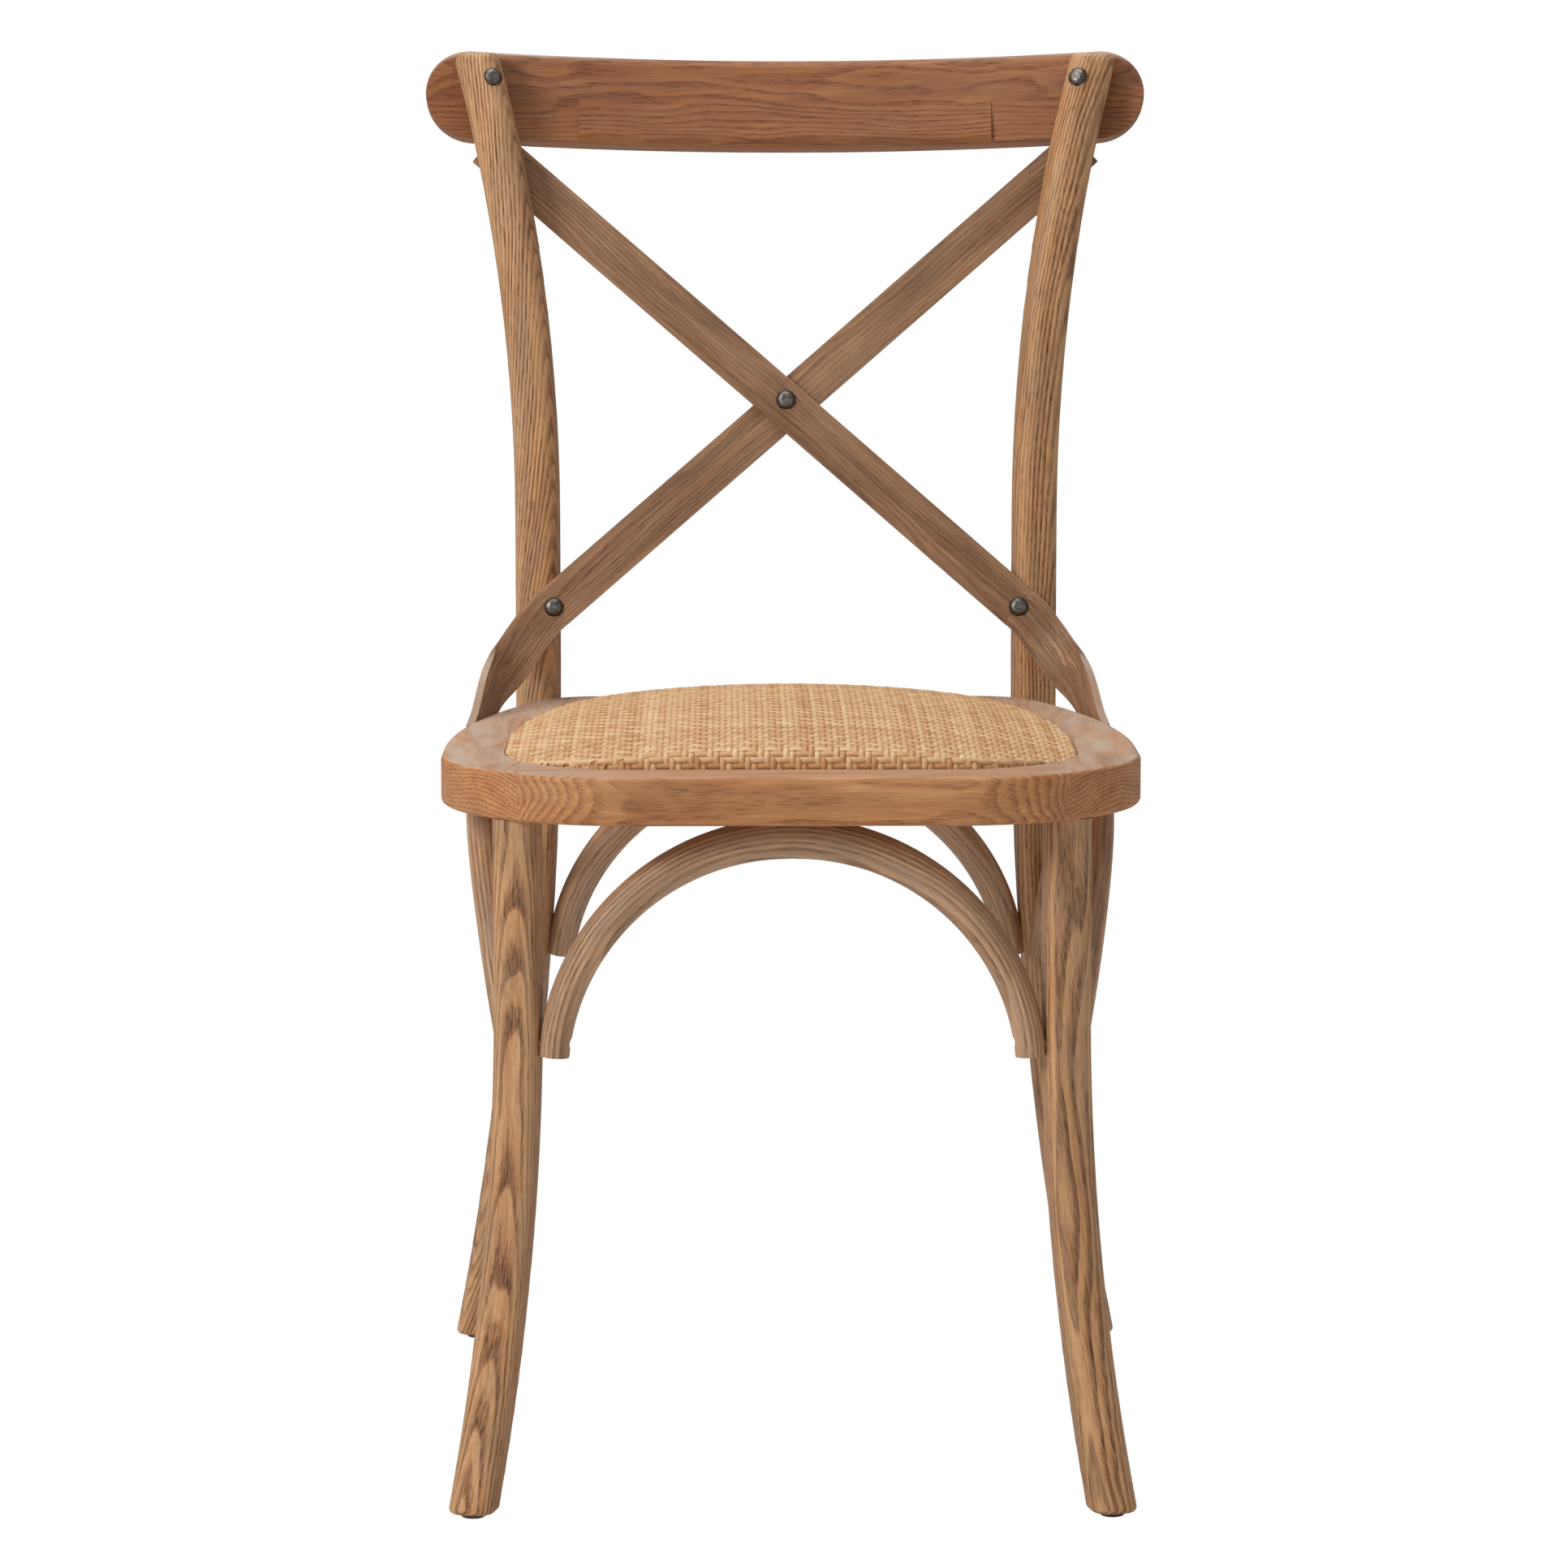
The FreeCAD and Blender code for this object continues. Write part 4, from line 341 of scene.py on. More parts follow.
def strap_grain(piece, side, pith):
    """A strap: straight across the back, then along its bent end. side is -1 for the rear one."""
    p = points_of(piece) * (side, 1, 1)
    offset = p - STRAP_HIGH
    along = offset @ strap_line
    across = offset @ strap_side
    deep = offset @ strap_face
    line = strap_bend()
    steps = np.linalg.norm(np.diff(line, axis=0), axis=1)
    lengths = np.concatenate([[0], np.cumsum(steps)]) + strap_length
    nearest = np.argmin(np.linalg.norm(p[:, None, :] - line[None, :, :], axis=2), axis=1)
    headings = np.gradient(line, axis=0)
    heading = (headings / np.linalg.norm(headings, axis=1)[:, None])[nearest]
    gap = p - line[nearest]
    bent = along > strap_length
    lengthwise = np.sum(gap * heading, axis=1)
    rest = gap - heading * lengthwise[:, None]
    up_side = np.cross(heading, np.cross(np.array([0, 0, 1.0]), heading))
    sign = np.sign(np.sum(rest * up_side, axis=1)) * np.sign(strap_side[2])
    along = np.where(bent, lengths[nearest] + lengthwise, along)
    across = np.where(bent, sign * np.linalg.norm(rest, axis=1), across)
    edge = 0.6 * (np.abs(across) - 0.0125) / 0.002
    keep_grain(piece, along, across, np.where(bent, 0.0, deep), pith, edge)


crest_grain(nodes["crest_rail"], (0.016, 0.042, 0.0))
strap_grain(nodes["cross_strap_front"], 1, (0.024, 0.031, 0.0))
strap_grain(nodes["cross_strap_rear"], -1, (-0.021, 0.027, 0.0))
print("straight strap", round(float(strap_length), 3))

# %% [markdown]
# Colours are written as hex codes as the eye sees them. A few short functions keep the
# material trees readable: one adds a node, the others wrap the kinds used most.

# %% Helpers for node trees
def tint(code, strength=1.0):
    """A hex colour as the linear colour that Blender works with."""
    parts = [int(code[i:i + 2], 16) / 255 for i in (1, 3, 5)]
    line = [c / 12.92 if c <= 0.04045 else ((c + 0.055) / 1.055) ** 2.4 for c in parts]
    return tuple(strength * c for c in line) + (1.0,)


def add(tree, kind, inputs=None, **settings):
    """Add a node, set its properties, and link or set its inputs."""
    made = tree.nodes.new(kind)
    for key, value in settings.items():
        setattr(made, key, value)
    for key, value in (inputs or {}).items():
        if isinstance(value, bpy.types.NodeSocket):
            tree.links.new(value, made.inputs[key])
        else:
            made.inputs[key].default_value = value
    return made


def first(tree, kind, inputs=None, **settings):
    """Add a node and give its first output."""
    return add(tree, kind, inputs, **settings).outputs[0]


def calc(tree, operation, a, b=0.0, c=0.0):
    return first(tree, "ShaderNodeMath", {0: a, 1: b, 2: c}, operation=operation)


def times(tree, a, b):
    return calc(tree, "MULTIPLY", a, b)


def scaled(tree, a, by, plus):
    return calc(tree, "MULTIPLY_ADD", a, by, plus)


def vectors(tree, operation, a, b):
    return first(tree, "ShaderNodeVectorMath", {0: a, 1: b}, operation=operation)


def stretch(tree, vector, factors):
    return vectors(tree, "MULTIPLY", vector, factors)


def attribute(tree, name, output="Fac"):
    return add(tree, "ShaderNodeAttribute", attribute_name=name).outputs[output]


def noise(tree, vector, scales, detail=2.0, rough=0.5, output="Fac"):
    """Noise with a scale of its own along each axis."""
    inputs = {"Vector": stretch(tree, vector, scales), "Scale": 1.0, "Detail": detail,
              "Roughness": rough}
    return add(tree, "ShaderNodeTexNoise", inputs).outputs[output]


def ramp(tree, factor, stops):
    """A ramp from stops of place and hex colour, or place and grey level."""
    made = add(tree, "ShaderNodeValToRGB", {"Fac": factor})
    row = made.color_ramp.elements
    while len(row) < len(stops):
        row.new(0.5)
    for element, (place, value) in zip(row, stops):
        element.position = place
        element.color = tint(value) if isinstance(value, str) else (value, value, value, 1.0)
    return made.outputs["Color"]


def two_tones(tree, factor, dark, light):
    """A soft change from the dark to the light colour."""
    return ramp(tree, factor, [(0.3, dark), (0.7, light)])


def blend_colours(tree, factor, a, b):
    return add(tree, "ShaderNodeMix", {0: factor, 6: a, 7: b}, data_type="RGBA").outputs[2]


def new_material(name):
    material = bpy.data.materials.new(name)
    material.use_nodes = True
    material.node_tree.nodes.clear()
    return material, material.node_tree


def finish_material(tree, colour, rough, height, distance, strength=1.0, **fixed):
    """Principled shader with bump. fixed are sockets that hold one value all over."""
    shader = add(tree, "ShaderNodeBsdfPrincipled", {"Base Color": colour, "Roughness": rough})
    for key, value in fixed.items():
        shader.inputs[key.replace("_", " ")].default_value = value
    bump = add(tree, "ShaderNodeBump", {"Height": height, "Distance": distance, "Strength": strength})
    tree.links.new(bump.outputs["Normal"], shader.inputs["Normal"])
    add(tree, "ShaderNodeOutputMaterial", {"Surface": shader.outputs[0]})


print("helpers ready")

# %% [markdown]
# Oak is drawn in depth, as it grows. Rings stand round the pith and wander a little along
# the length, which makes arches on the faces and curls on end grain. Each ring starts with
# a zone of open pores, dark dashes along the grain, and ends in denser wood. Grey patina
# lies over parts of it, and the worn corners are paler. Faces that look up get a pale
# painted sheen, the light from above painted into their colour.

# %% Oak
def oak(name, dark, middle, light, grey, wear, ring, wander, figure, pores, patina,
        sheen_amount=0.2, relief=0.00035):
    """Oak in its own colours. ring is the ring width and wander how far rings stray, in
    metres. figure, pores, patina and sheen_amount are how strongly each of them shows.
    sheen_amount is the least of the pale painted sheen, light painted onto faces that look up."""
    material, tree = new_material(name)
    grain = attribute(tree, "grain", "Vector")
    slow = noise(tree, grain, (7.0, 30.0, 30.0), 2.0, 0.45, "Color")
    centred = vectors(tree, "SUBTRACT", slow, (0.5, 0.5, 0.5))
    bent = vectors(tree, "ADD", grain, stretch(tree, centred, (0.0, wander, wander)))
    across = stretch(tree, bent, (0.0, 1.0, 1.0))
    radius = add(tree, "ShaderNodeVectorMath", {0: across}, operation="LENGTH").outputs["Value"]
    ring_place = calc(tree, "FRACT", calc(tree, "DIVIDE", radius, ring))
    early = ramp(tree, ring_place, [(0.0, 0.25), (0.10, 1.0), (0.34, 0.75), (0.62, 0.12), (1.0, 0.0)])
    fibre = noise(tree, bent, (26.0, 620.0, 620.0), 4.0, 0.6)
    broad = noise(tree, bent, (9.0, 110.0, 110.0))
    dashes = noise(tree, bent, (85.0, 1500.0, 1500.0), 1.0)
    dash = ramp(tree, dashes, [(0.53, 0.0), (0.64, 1.0)])
    pore = times(tree, dash, scaled(tree, early, 0.75, 0.25))
    streaks = scaled(tree, broad, 0.6, 0.05)
    streaks = calc(tree, "ADD", times(tree, fibre, 0.9), streaks)
    tone = scaled(tree, early, -figure, streaks)
    colour = ramp(tree, tone, [(0.0, dark), (0.42, middle), (0.78, light), (1.0, wear)])
    cloud = noise(tree, grain, (12.0, 60.0, 60.0), 3.0)
    veil = times(tree, ramp(tree, cloud, [(0.42, 0.0), (0.68, 1.0)]), patina)
    colour = blend_colours(tree, veil, colour, tint(grey))
    colour = blend_colours(tree, times(tree, pore, pores), colour, tint(dark, 0.55))
    rubbed = ramp(tree, broad, [(0.35, 0.1), (0.6, 0.75)])
    rub = times(tree, attribute(tree, "edge"), rubbed)
    colour = blend_colours(tree, rub, colour, tint(wear))
    # Painted sheen: faces that look up are mixed toward pale #c9b3a0 in patches, light from above painted
    # into the colour.
    sheen_patches = ramp(tree, cloud, [(0.36, sheen_amount), (0.64, 0.85)])
    painted_sheen = times(tree, attribute(tree, "sheen_on_top"), sheen_patches)
    colour = blend_colours(tree, painted_sheen, colour, tint("#c9b3a0"))
    hollow = scaled(tree, early, 0.25, times(tree, pore, 0.8))
    height = calc(tree, "SUBTRACT", times(tree, fibre, 0.35), hollow)
    roughness = scaled(tree, pore, 0.25, 0.55)
    finish_material(tree, colour, roughness, height, relief, 0.9, IOR=1.5)
    return material


oaks = {
    "oak_seat": oak("oak_seat", "#784524", "#a76a3b", "#c1834f", "#a37c5b", ring=0.0026, wander=0.011,
                    figure=0.36, pores=0.55, patina=0.30, sheen_amount=0.32, wear="#d69d67", relief=0.0002),
    "oak_legs": oak("oak_legs", "#5b3a23", "#9c6a41", "#ca9564", "#9e856a", ring=0.0026, wander=0.009,
                    figure=0.52, pores=0.85, patina=0.40, wear="#d4a678"),
    "oak_back": oak("oak_back", "#64371b", "#884f2b", "#9d6238", "#77543a", ring=0.0017, wander=0.013,
                    figure=0.38, pores=0.60, patina=0.30, wear="#a47146", relief=0.00025),
    "oak_straps": oak("oak_straps", "#533622", "#785236", "#926948", "#6a533e", ring=0.0020,
                      wander=0.010, figure=0.26, pores=0.50, patina=0.45, wear="#b48a67", relief=0.0002),
    "oak_braces": oak("oak_braces", "#6c4b33", "#a17753", "#bf9674", "#9d8671", ring=0.0030,
                      wander=0.010, figure=0.42, pores=0.50, patina=0.50, wear="#deb485", relief=0.0002),
}
print(len(oaks), "kinds of oak")

# %% [markdown]
# The small parts: zinc plated steel for screws and bolts, plain beech dowels, birch
# plywood, brown nylon glides and antique pewter for the rivets. They read their object's
# own coordinates, so the pattern keeps its real size.

# %% Materials of the small parts
def place_of(tree):
    """The object's own coordinates, in metres."""
    return add(tree, "ShaderNodeTexCoord").outputs["Object"]


def metal(name, dark, light, rough, scale, relief):
    material, tree = new_material(name)
    place = place_of(tree)
    mottle = noise(tree, place, (scale, scale, scale), 3.0)
    fine = noise(tree, place, (9000.0, 9000.0, 1800.0))
    mixed = scaled(tree, fine, 0.3, times(tree, mottle, 0.7))
    colour = two_tones(tree, mixed, dark, light)
    roughness = scaled(tree, mottle, 0.3, rough - 0.15)
    finish_material(tree, colour, roughness, fine, relief, 0.6, Metallic=1.0)
    return material


def plain_wood(name, dark, light, layer=0.0):
    """Straight grained pale wood. layer is the ply thickness, 0 for solid wood."""
    material, tree = new_material(name)
    place = place_of(tree)
    streak = noise(tree, place, (30.0, 900.0, 900.0), 4.0, 0.6)
    colour = two_tones(tree, streak, dark, light)
    if layer:
        height = add(tree, "ShaderNodeSeparateXYZ", {0: place}).outputs["Z"]
        layers = calc(tree, "FRACT", calc(tree, "DIVIDE", height, 2 * layer))
        ply = ramp(tree, layers, [(0.48, 0.0), (0.52, 0.45)])
        colour = blend_colours(tree, ply, colour, tint(dark, 0.6))
    finish_material(tree, colour, 0.6, streak, 0.00015, 0.7, IOR=1.5)
    return material


def nylon(name):
    material, tree = new_material(name)
    place = place_of(tree)
    haze = noise(tree, place, (260.0, 260.0, 260.0), 3.0)
    scratch = noise(tree, place, (2500.0, 400.0, 900.0))
    colour = two_tones(tree, haze, "#5b4838", "#8a735c")
    roughness = scaled(tree, scratch, 0.2, 0.28)
    finish_material(tree, colour, roughness, scratch, 0.00005, 0.5, IOR=1.53,
                    Transmission_Weight=0.25, Subsurface_Weight=0.1, Subsurface_Scale=0.003)
    return material


smalls = {
    "zinc": metal("zinc", "#8b8d90", "#c3c5c6", 0.38, 700.0, 0.00003),
    "beech": plain_wood("beech", "#b98f63", "#d9b88d"),
    "plywood": plain_wood("plywood", "#b08a5e", "#d6b78c", 0.0015),
    "nylon": nylon("nylon"),
}
kinds = {**oaks, **smalls}
slot_of = {part["node"]: part["material_slot"] for part in frame["record"]["subparts"]}
dressed = [name for name in nodes if slot_of[name] in kinds]
for name in dressed:
    mesh = nodes[name].data
    mesh.materials.clear()
    mesh.materials.append(kinds[slot_of[name]])
    for face in mesh.polygons:
        face.material_index = 0
print("dressed", len(dressed), "nodes")

# %% [markdown]
# The woven seat lies on a crowned pad. Its height at any place depends on how far in from
# the rim of the opening that place is: first it rounds over quickly, then a gentle egg
# shape takes over. The outline is the seat frame's opening, sampled as a closed line.

# %% Shape of the pad
def arc(centre, radius, start, end, count):
    angles = np.linspace(start, end, count)
    return np.stack([centre[0] + radius * np.cos(angles), centre[1] + radius * np.sin(angles)], axis=1)


def opening(inset):
    """Closed outline of the opening drawn inwards, counterclockwise from the front middle."""
    corner = (HALF_SEAT - FRONT_CORNER, SEAT_FRONT + FRONT_CORNER)
    centre_x = HALF_SEAT - SIDE_RADIUS
    rear = OPENING_REAR - (inset - REBATE)
    rear_y = SEAT_REAR - inset - rear
    reach = SIDE_RADIUS - inset - rear
    rear_x = centre_x + math.sqrt(reach ** 2 - (rear_y - SIDE_BEND_Y) ** 2)
    turn = math.atan2(rear_y - SIDE_BEND_Y, rear_x - centre_x)
    right = np.concatenate([
        np.stack([np.linspace(0, corner[0], 40), np.full(40, SEAT_FRONT + inset)], axis=1),
        arc(corner, FRONT_CORNER - inset, -math.pi / 2, 0, 50),
        arc((centre_x, SIDE_BEND_Y), SIDE_RADIUS - inset, 0, turn, 60),
        arc((rear_x, rear_y), rear, turn, math.pi / 2, 40),
        np.stack([np.linspace(rear_x, 0, 40), np.full(40, SEAT_REAR - inset)], axis=1),
    ])
    left = right[::-1] * np.array([-1, 1])
    line = np.concatenate([right, left])
    keep = np.linalg.norm(line - np.roll(line, 1, axis=0), axis=1) > 1e-6
    return line[keep]


RIM = opening(REBATE)


def inwards(places):
    """Distance of each place from the rim of the opening, positive inside."""
    following = np.roll(RIM, -1, axis=0)
    run = following - RIM
    rise = np.where(run[:, 1] == 0, 1e-12, run[:, 1])
    result = np.empty(len(places))
    for start in range(0, len(places), 2000):
        q = places[start:start + 2000, None]
        gap = q - RIM
        t = np.clip(np.sum(gap * run, axis=2) / np.sum(run * run, axis=1), 0, 1)
        near = gap - t[:, :, None] * run
        distance = np.sqrt(np.min(np.sum(near * near, axis=2), axis=1))
        spans = (RIM[:, 1] > q[:, :, 1]) != (following[:, 1] > q[:, :, 1])
        wall = gap[:, :, 1] * run[:, 0] / rise + RIM[:, 0]
        crossings = np.sum(spans & (q[:, :, 0] < wall), axis=1)
        result[start:start + 2000] = np.where(crossings % 2 == 1, distance, -distance)
    return result


def pad_height(places):
    """Height of the woven surface over places inside the opening."""
    d = np.clip(inwards(places), 0, RIM_REACH) / RIM_REACH
    rim = WEAVE_RIM + RIM_RISE * np.sqrt(1 - (1 - d) ** 2)
    sideways = places[:, 0] ** 2 / (CROWN_SIDE_RADIUS * CROWN_DEPTH)
    lengthwise = (places[:, 1] - CROWN_Y) ** 2 / (CROWN_LENGTH_RADIUS * CROWN_DEPTH)
    egg = np.clip(1 - sideways - lengthwise, 0, 1)
    bowed = CROWN_TOP - CROWN_DEPTH + CROWN_DEPTH * np.sqrt(egg)
    mix = np.clip(0.5 + 0.5 * (rim - bowed) / CROWN_BLEND, 0, 1)
    return rim * (1 - mix) + bowed * mix - CROWN_BLEND * mix * (1 - mix)


pad_top = pad_height(np.array([[0.0, CROWN_Y]])).item()
print("rim points", len(RIM), "pad top", round(pad_top, 4))

# %% [markdown]
# The cane is a two over, two under twill of flat strands, 3.85 mm apart both ways. The
# script lays the middle line of every strand over the pad, down into the groove at both
# ends. A Geometry Nodes tree then weaves them: it lifts each strand over two neighbours
# and under the next two, gives it a flat rounded section and a shade of its own.

# %% Middle lines of the strands
PITCH = 0.00385
GROOVE_Z = SEAT_TOP - 0.006
LIP_Z = WEAVE_RIM - 0.001
STRAND_INSET = 0.0009
POINT_GAP = 0.0006
SLOPE_STEP = 0.0004
BORDER_LEAN = 0.55


def draped_length(axis, inner):
    """Places along the pad's middle line, and the length over the pad to each of them."""
    places = np.zeros((1200, 2))
    places[:, 1] = CROWN_Y
    places[:, axis] = np.linspace(inner[:, axis].min(), inner[:, axis].max(), len(places))
    steps = np.hypot(np.diff(places[:, axis]), np.diff(pad_height(places)))
    lengths = np.concatenate([[0], np.cumsum(steps)])
    middle = np.interp(0.0 if axis == 0 else CROWN_Y, places[:, axis], lengths)
    return places[:, axis], lengths - middle


def draped_strand(axis, level, start, end):
    """Points and normals of one strand over the pad, with both ends down in the groove."""
    count = int((end - start) / POINT_GAP)
    dense_ends = (start + end) / 2 - (end - start) / 2 * np.cos(np.linspace(0, math.pi, count))
    places = np.empty((count, 2))
    places[:, axis] = 0.35 * dense_ends + 0.65 * np.linspace(start, end, count)
    places[:, 1 - axis] = level
    normal = np.ones((count, 3))
    for k, aside in enumerate(SLOPE_STEP * np.eye(2)):
        fall = pad_height(places - aside) - pad_height(places + aside)
        normal[:, k] = fall / (2 * SLOPE_STEP)
    normal /= np.linalg.norm(normal, axis=1)[:, None]
    points = np.column_stack([places, pad_height(places)])
    first_end = [(*places[0], GROOVE_Z), (*places[0], LIP_Z)]
    last_end = [(*places[-1], LIP_Z), (*places[-1], GROOVE_Z)]
    outward = np.eye(3)[axis]
    normal = np.concatenate([[-outward, -outward], normal[1:-1], [outward, outward]])
    return np.concatenate([first_end, points[1:-1], last_end]), normal


def strand_lines(axis):
    """Points, normals, row numbers and draped lengths of the strands along x (0) or y (1)."""
    inner = opening(REBATE + STRAND_INSET)
    nexts = np.roll(inner, -1, axis=0)
    row_places, row_lengths = draped_length(1 - axis, inner)
    draped = draped_length(axis, inner)
    rows = range(math.ceil(row_lengths[0] / PITCH), math.floor(row_lengths[-1] / PITCH) + 1)
    lines = []
    a = inner[:, 1 - axis]
    b = nexts[:, 1 - axis]
    for row in rows:
        level = np.interp(row * PITCH, row_lengths, row_places)
        cuts = np.nonzero((a > level) != (b > level))[0]
        if len(cuts) < 2:
            continue
        t = (level - a[cuts]) / (b[cuts] - a[cuts])
        hits = np.sort(inner[cuts, axis] + t * (nexts[cuts, axis] - inner[cuts, axis]))
        if hits[-1] - hits[0] < 4 * PITCH:
            continue
        points, normal = draped_strand(axis, level, hits[0], hits[-1])
        runs = np.interp(points[:, axis], *draped)
        runs[:2] = runs[2] - (points[2, 2] - points[:2, 2])
        runs[-2:] = runs[-3] + (points[-3, 2] - points[-2:, 2])
        lines.append((points, normal, row, runs))
    lines += border_lines(axis, inner, rows[0], row_lengths[0], draped)
    lines += border_lines(axis, inner, rows[-1], row_lengths[-1], draped)
    return lines


def border_lines(axis, inner, last_row, last_length, draped):
    """Two more strands on the steep side of the pad, beyond the last straight row."""
    side = 1 if last_length > 0 else -1
    heading = np.roll(inner, -1, axis=0) - np.roll(inner, 1, axis=0)
    heading /= np.linalg.norm(heading, axis=1)[:, None]
    outward = np.column_stack([heading[:, 1], -heading[:, 0], np.zeros(len(inner))])
    chosen = np.nonzero(side * outward[:, 1 - axis] > BORDER_LEAN)[0]
    chosen = chosen[np.argsort(inner[chosen, axis])]
    ring = inner[chosen]
    facing = fade(side * outward[chosen, 1 - axis], BORDER_LEAN, BORDER_LEAN + 0.25)
    runs = np.interp(ring[:, axis], *draped)
    rim_z = pad_height(ring)
    lines = []
    for row in (last_row + side, last_row + 2 * side):
        z = rim_z - (abs(row) * PITCH - abs(last_length)) - 0.005 * (1 - facing) ** 2
        lines.append((np.column_stack([ring, z]), outward[chosen], row, runs))
    return lines


def put(name, data):
    """Put an object with this data into the scene."""
    made = bpy.data.objects.new(name, data)
    bpy.context.scene.collection.objects.link(made)
    return made


def strand_object(name, axis):
    """All strands of one direction as loose edge chains, with normals and row numbers."""
    points, normals, rows, runs = zip(*strand_lines(axis))
    edges = []
    start = 0
    for line in points:
        edges += [(k, k + 1) for k in range(start, start + len(line) - 1)]
        start += len(line)
    mesh = bpy.data.meshes.new(name)
    mesh.from_pydata(np.concatenate(points).tolist(), edges, [])
    store(mesh, "outward", np.concatenate(normals))
    store(mesh, "row", np.repeat(np.array(rows, float), [len(line) for line in points]))
    store(mesh, "run", np.concatenate(runs))
    return put(name, mesh)


cane_across = strand_object("cane_across", 0)
cane_along = strand_object("cane_along", 1)
print("points", len(cane_across.data.vertices), len(cane_along.data.vertices))

# %% [markdown]
# The tree below is used for both directions. Its inputs are sizes in metres: the pitch,
# the width and thickness of a strand, how far it is lifted, and which way it runs.

# %% Weaving tree
def new_group(name, sizes, seed):
    """A Geometry Nodes tree with an input for each size and a seed."""
    tree = bpy.data.node_groups.new(name, "GeometryNodeTree")
    face = tree.interface
    face.new_socket("Geometry", in_out="INPUT", socket_type="NodeSocketGeometry")
    for title, value in sizes.items():
        socket = face.new_socket(title, in_out="INPUT", socket_type="NodeSocketFloat")
        socket.default_value = value
    socket = face.new_socket("Seed", in_out="INPUT", socket_type="NodeSocketInt")
    socket.default_value = seed
    face.new_socket("Geometry", in_out="OUTPUT", socket_type="NodeSocketGeometry")
    return tree, add(tree, "NodeGroupInput").outputs


def named(tree, name, kind="FLOAT"):
    return first(tree, "GeometryNodeInputNamedAttribute", {"Name": name}, data_type=kind)


def coated(tree, geometry, material):
    return first(tree, "GeometryNodeSetMaterial", {"Geometry": geometry, "Material": material})


def weaving_tree(material_across, material_along):
    """Weaves strands over two and under two, and gives each its section and shade."""
    tree, given = new_group("weave_strands", {
        "Pitch": PITCH, "Strand Width": 0.0043, "Strand Thickness": 0.0010, "Lift": 0.00052,
        "Runs Along": 0.0}, 7)
    half_pitch = times(tree, given["Pitch"], 0.5)
    curves = first(tree, "GeometryNodeMeshToCurve", {"Mesh": given["Geometry"]})
    even = first(tree, "GeometryNodeResampleCurve", {"Curve": curves, "Length": half_pitch},
                 mode="LENGTH")
    outward = named(tree, "outward", "FLOAT_VECTOR")
    row = named(tree, "row")
    runs = given["Runs Along"]
    beat = calc(tree, "ADD", calc(tree, "DIVIDE", named(tree, "run"), given["Pitch"]), row)
    phase = scaled(tree, beat, math.pi / 2, math.pi / 4)
    wave = times(tree, calc(tree, "SINE", phase), 1.5)
    wave = calc(tree, "MAXIMUM", calc(tree, "MINIMUM", wave, 1.0), -1.0)
    sign = scaled(tree, runs, -2.0, 1.0)
    lift = times(tree, times(tree, wave, sign), given["Lift"])
    move = first(tree, "ShaderNodeVectorMath", {0: outward, "Scale": lift}, operation="SCALE")
    woven = first(tree, "GeometryNodeSetPosition", {"Geometry": even, "Offset": move})
    turned = first(tree, "GeometryNodeSetCurveNormal", {"Curve": woven, "Normal": outward},
                   mode="FREE")
    number = first(tree, "FunctionNodeFloatToInt", {0: row})
    shade = add(tree, "FunctionNodeRandomValue", {"ID": number, "Seed": given["Seed"]},
                data_type="FLOAT").outputs[1]
    shaded = first(tree, "GeometryNodeStoreNamedAttribute",
                   {"Geometry": turned, "Name": "shade", "Value": shade},
                   data_type="FLOAT", domain="POINT")
    ring = first(tree, "GeometryNodeCurvePrimitiveCircle", {"Resolution": 6, "Radius": 0.5})
    flat = first(tree, "ShaderNodeCombineXYZ",
                 {"X": given["Strand Thickness"], "Y": given["Strand Width"], "Z": 1.0})
    section = first(tree, "GeometryNodeTransform", {"Geometry": ring, "Scale": flat})
    solid = first(tree, "GeometryNodeCurveToMesh",
                  {"Curve": shaded, "Profile Curve": section, "Fill Caps": True})
    along = calc(tree, "GREATER_THAN", runs, 0.5)
    pick = first(tree, "GeometryNodeSwitch",
                 {"Switch": along, "False": coated(tree, solid, material_across),
                  "True": coated(tree, solid, material_along)}, input_type="GEOMETRY")
    add(tree, "NodeGroupOutput", {"Geometry": pick})
    return tree


def cane(name, scales):
    """Split rattan: honey skin with fine lines along the strand, each strand its own shade."""
    material, tree = new_material(name)
    place = place_of(tree)
    lines = noise(tree, place, scales, 3.0, 0.6)
    blotch = noise(tree, place, (90.0, 90.0, 90.0), 3.0)
    tone = calc(tree, "ADD", times(tree, attribute(tree, "shade"), 0.42),
                scaled(tree, lines, 0.34, -0.02))
    tone = scaled(tree, blotch, 0.36, tone)
    colour = ramp(tree, tone, [(0.12, "#9a6134"), (0.32, "#c69059"), (0.58, "#ddb180"), (0.88, "#eecfa2")])
    roughness = scaled(tree, lines, 0.25, 0.35)
    finish_material(tree, colour, roughness, lines, 0.00012, 0.8, IOR=1.5)
    return material


def smooth(mesh):
    for polygon in mesh.polygons:
        polygon.use_smooth = True


def grow(piece, group, title, value):
    """Run a tree on an object with one input set, and keep the result as a plain mesh."""
    modifier = piece.modifiers.new(group.name, "NODES")
    modifier.node_group = group
    modifier[group.interface.items_tree[title].identifier] = value
    depsgraph = bpy.context.evaluated_depsgraph_get()
    shown = piece.evaluated_get(depsgraph)
    piece.data = bpy.data.meshes.new_from_object(shown, depsgraph=depsgraph)
    piece.modifiers.clear()
    smooth(piece.data)


weaving = weaving_tree(cane("cane_across", (60.0, 2600.0, 900.0)),
                       cane("cane_along", (2600.0, 60.0, 900.0)))
for piece, runs in ((cane_across, 0.0), (cane_along, 1.0)):
    grow(piece, weaving, "Runs Along", runs)
    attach(piece, "root")
    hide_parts("woven_seat")
    print(piece.name, len(piece.data.polygons), "faces")

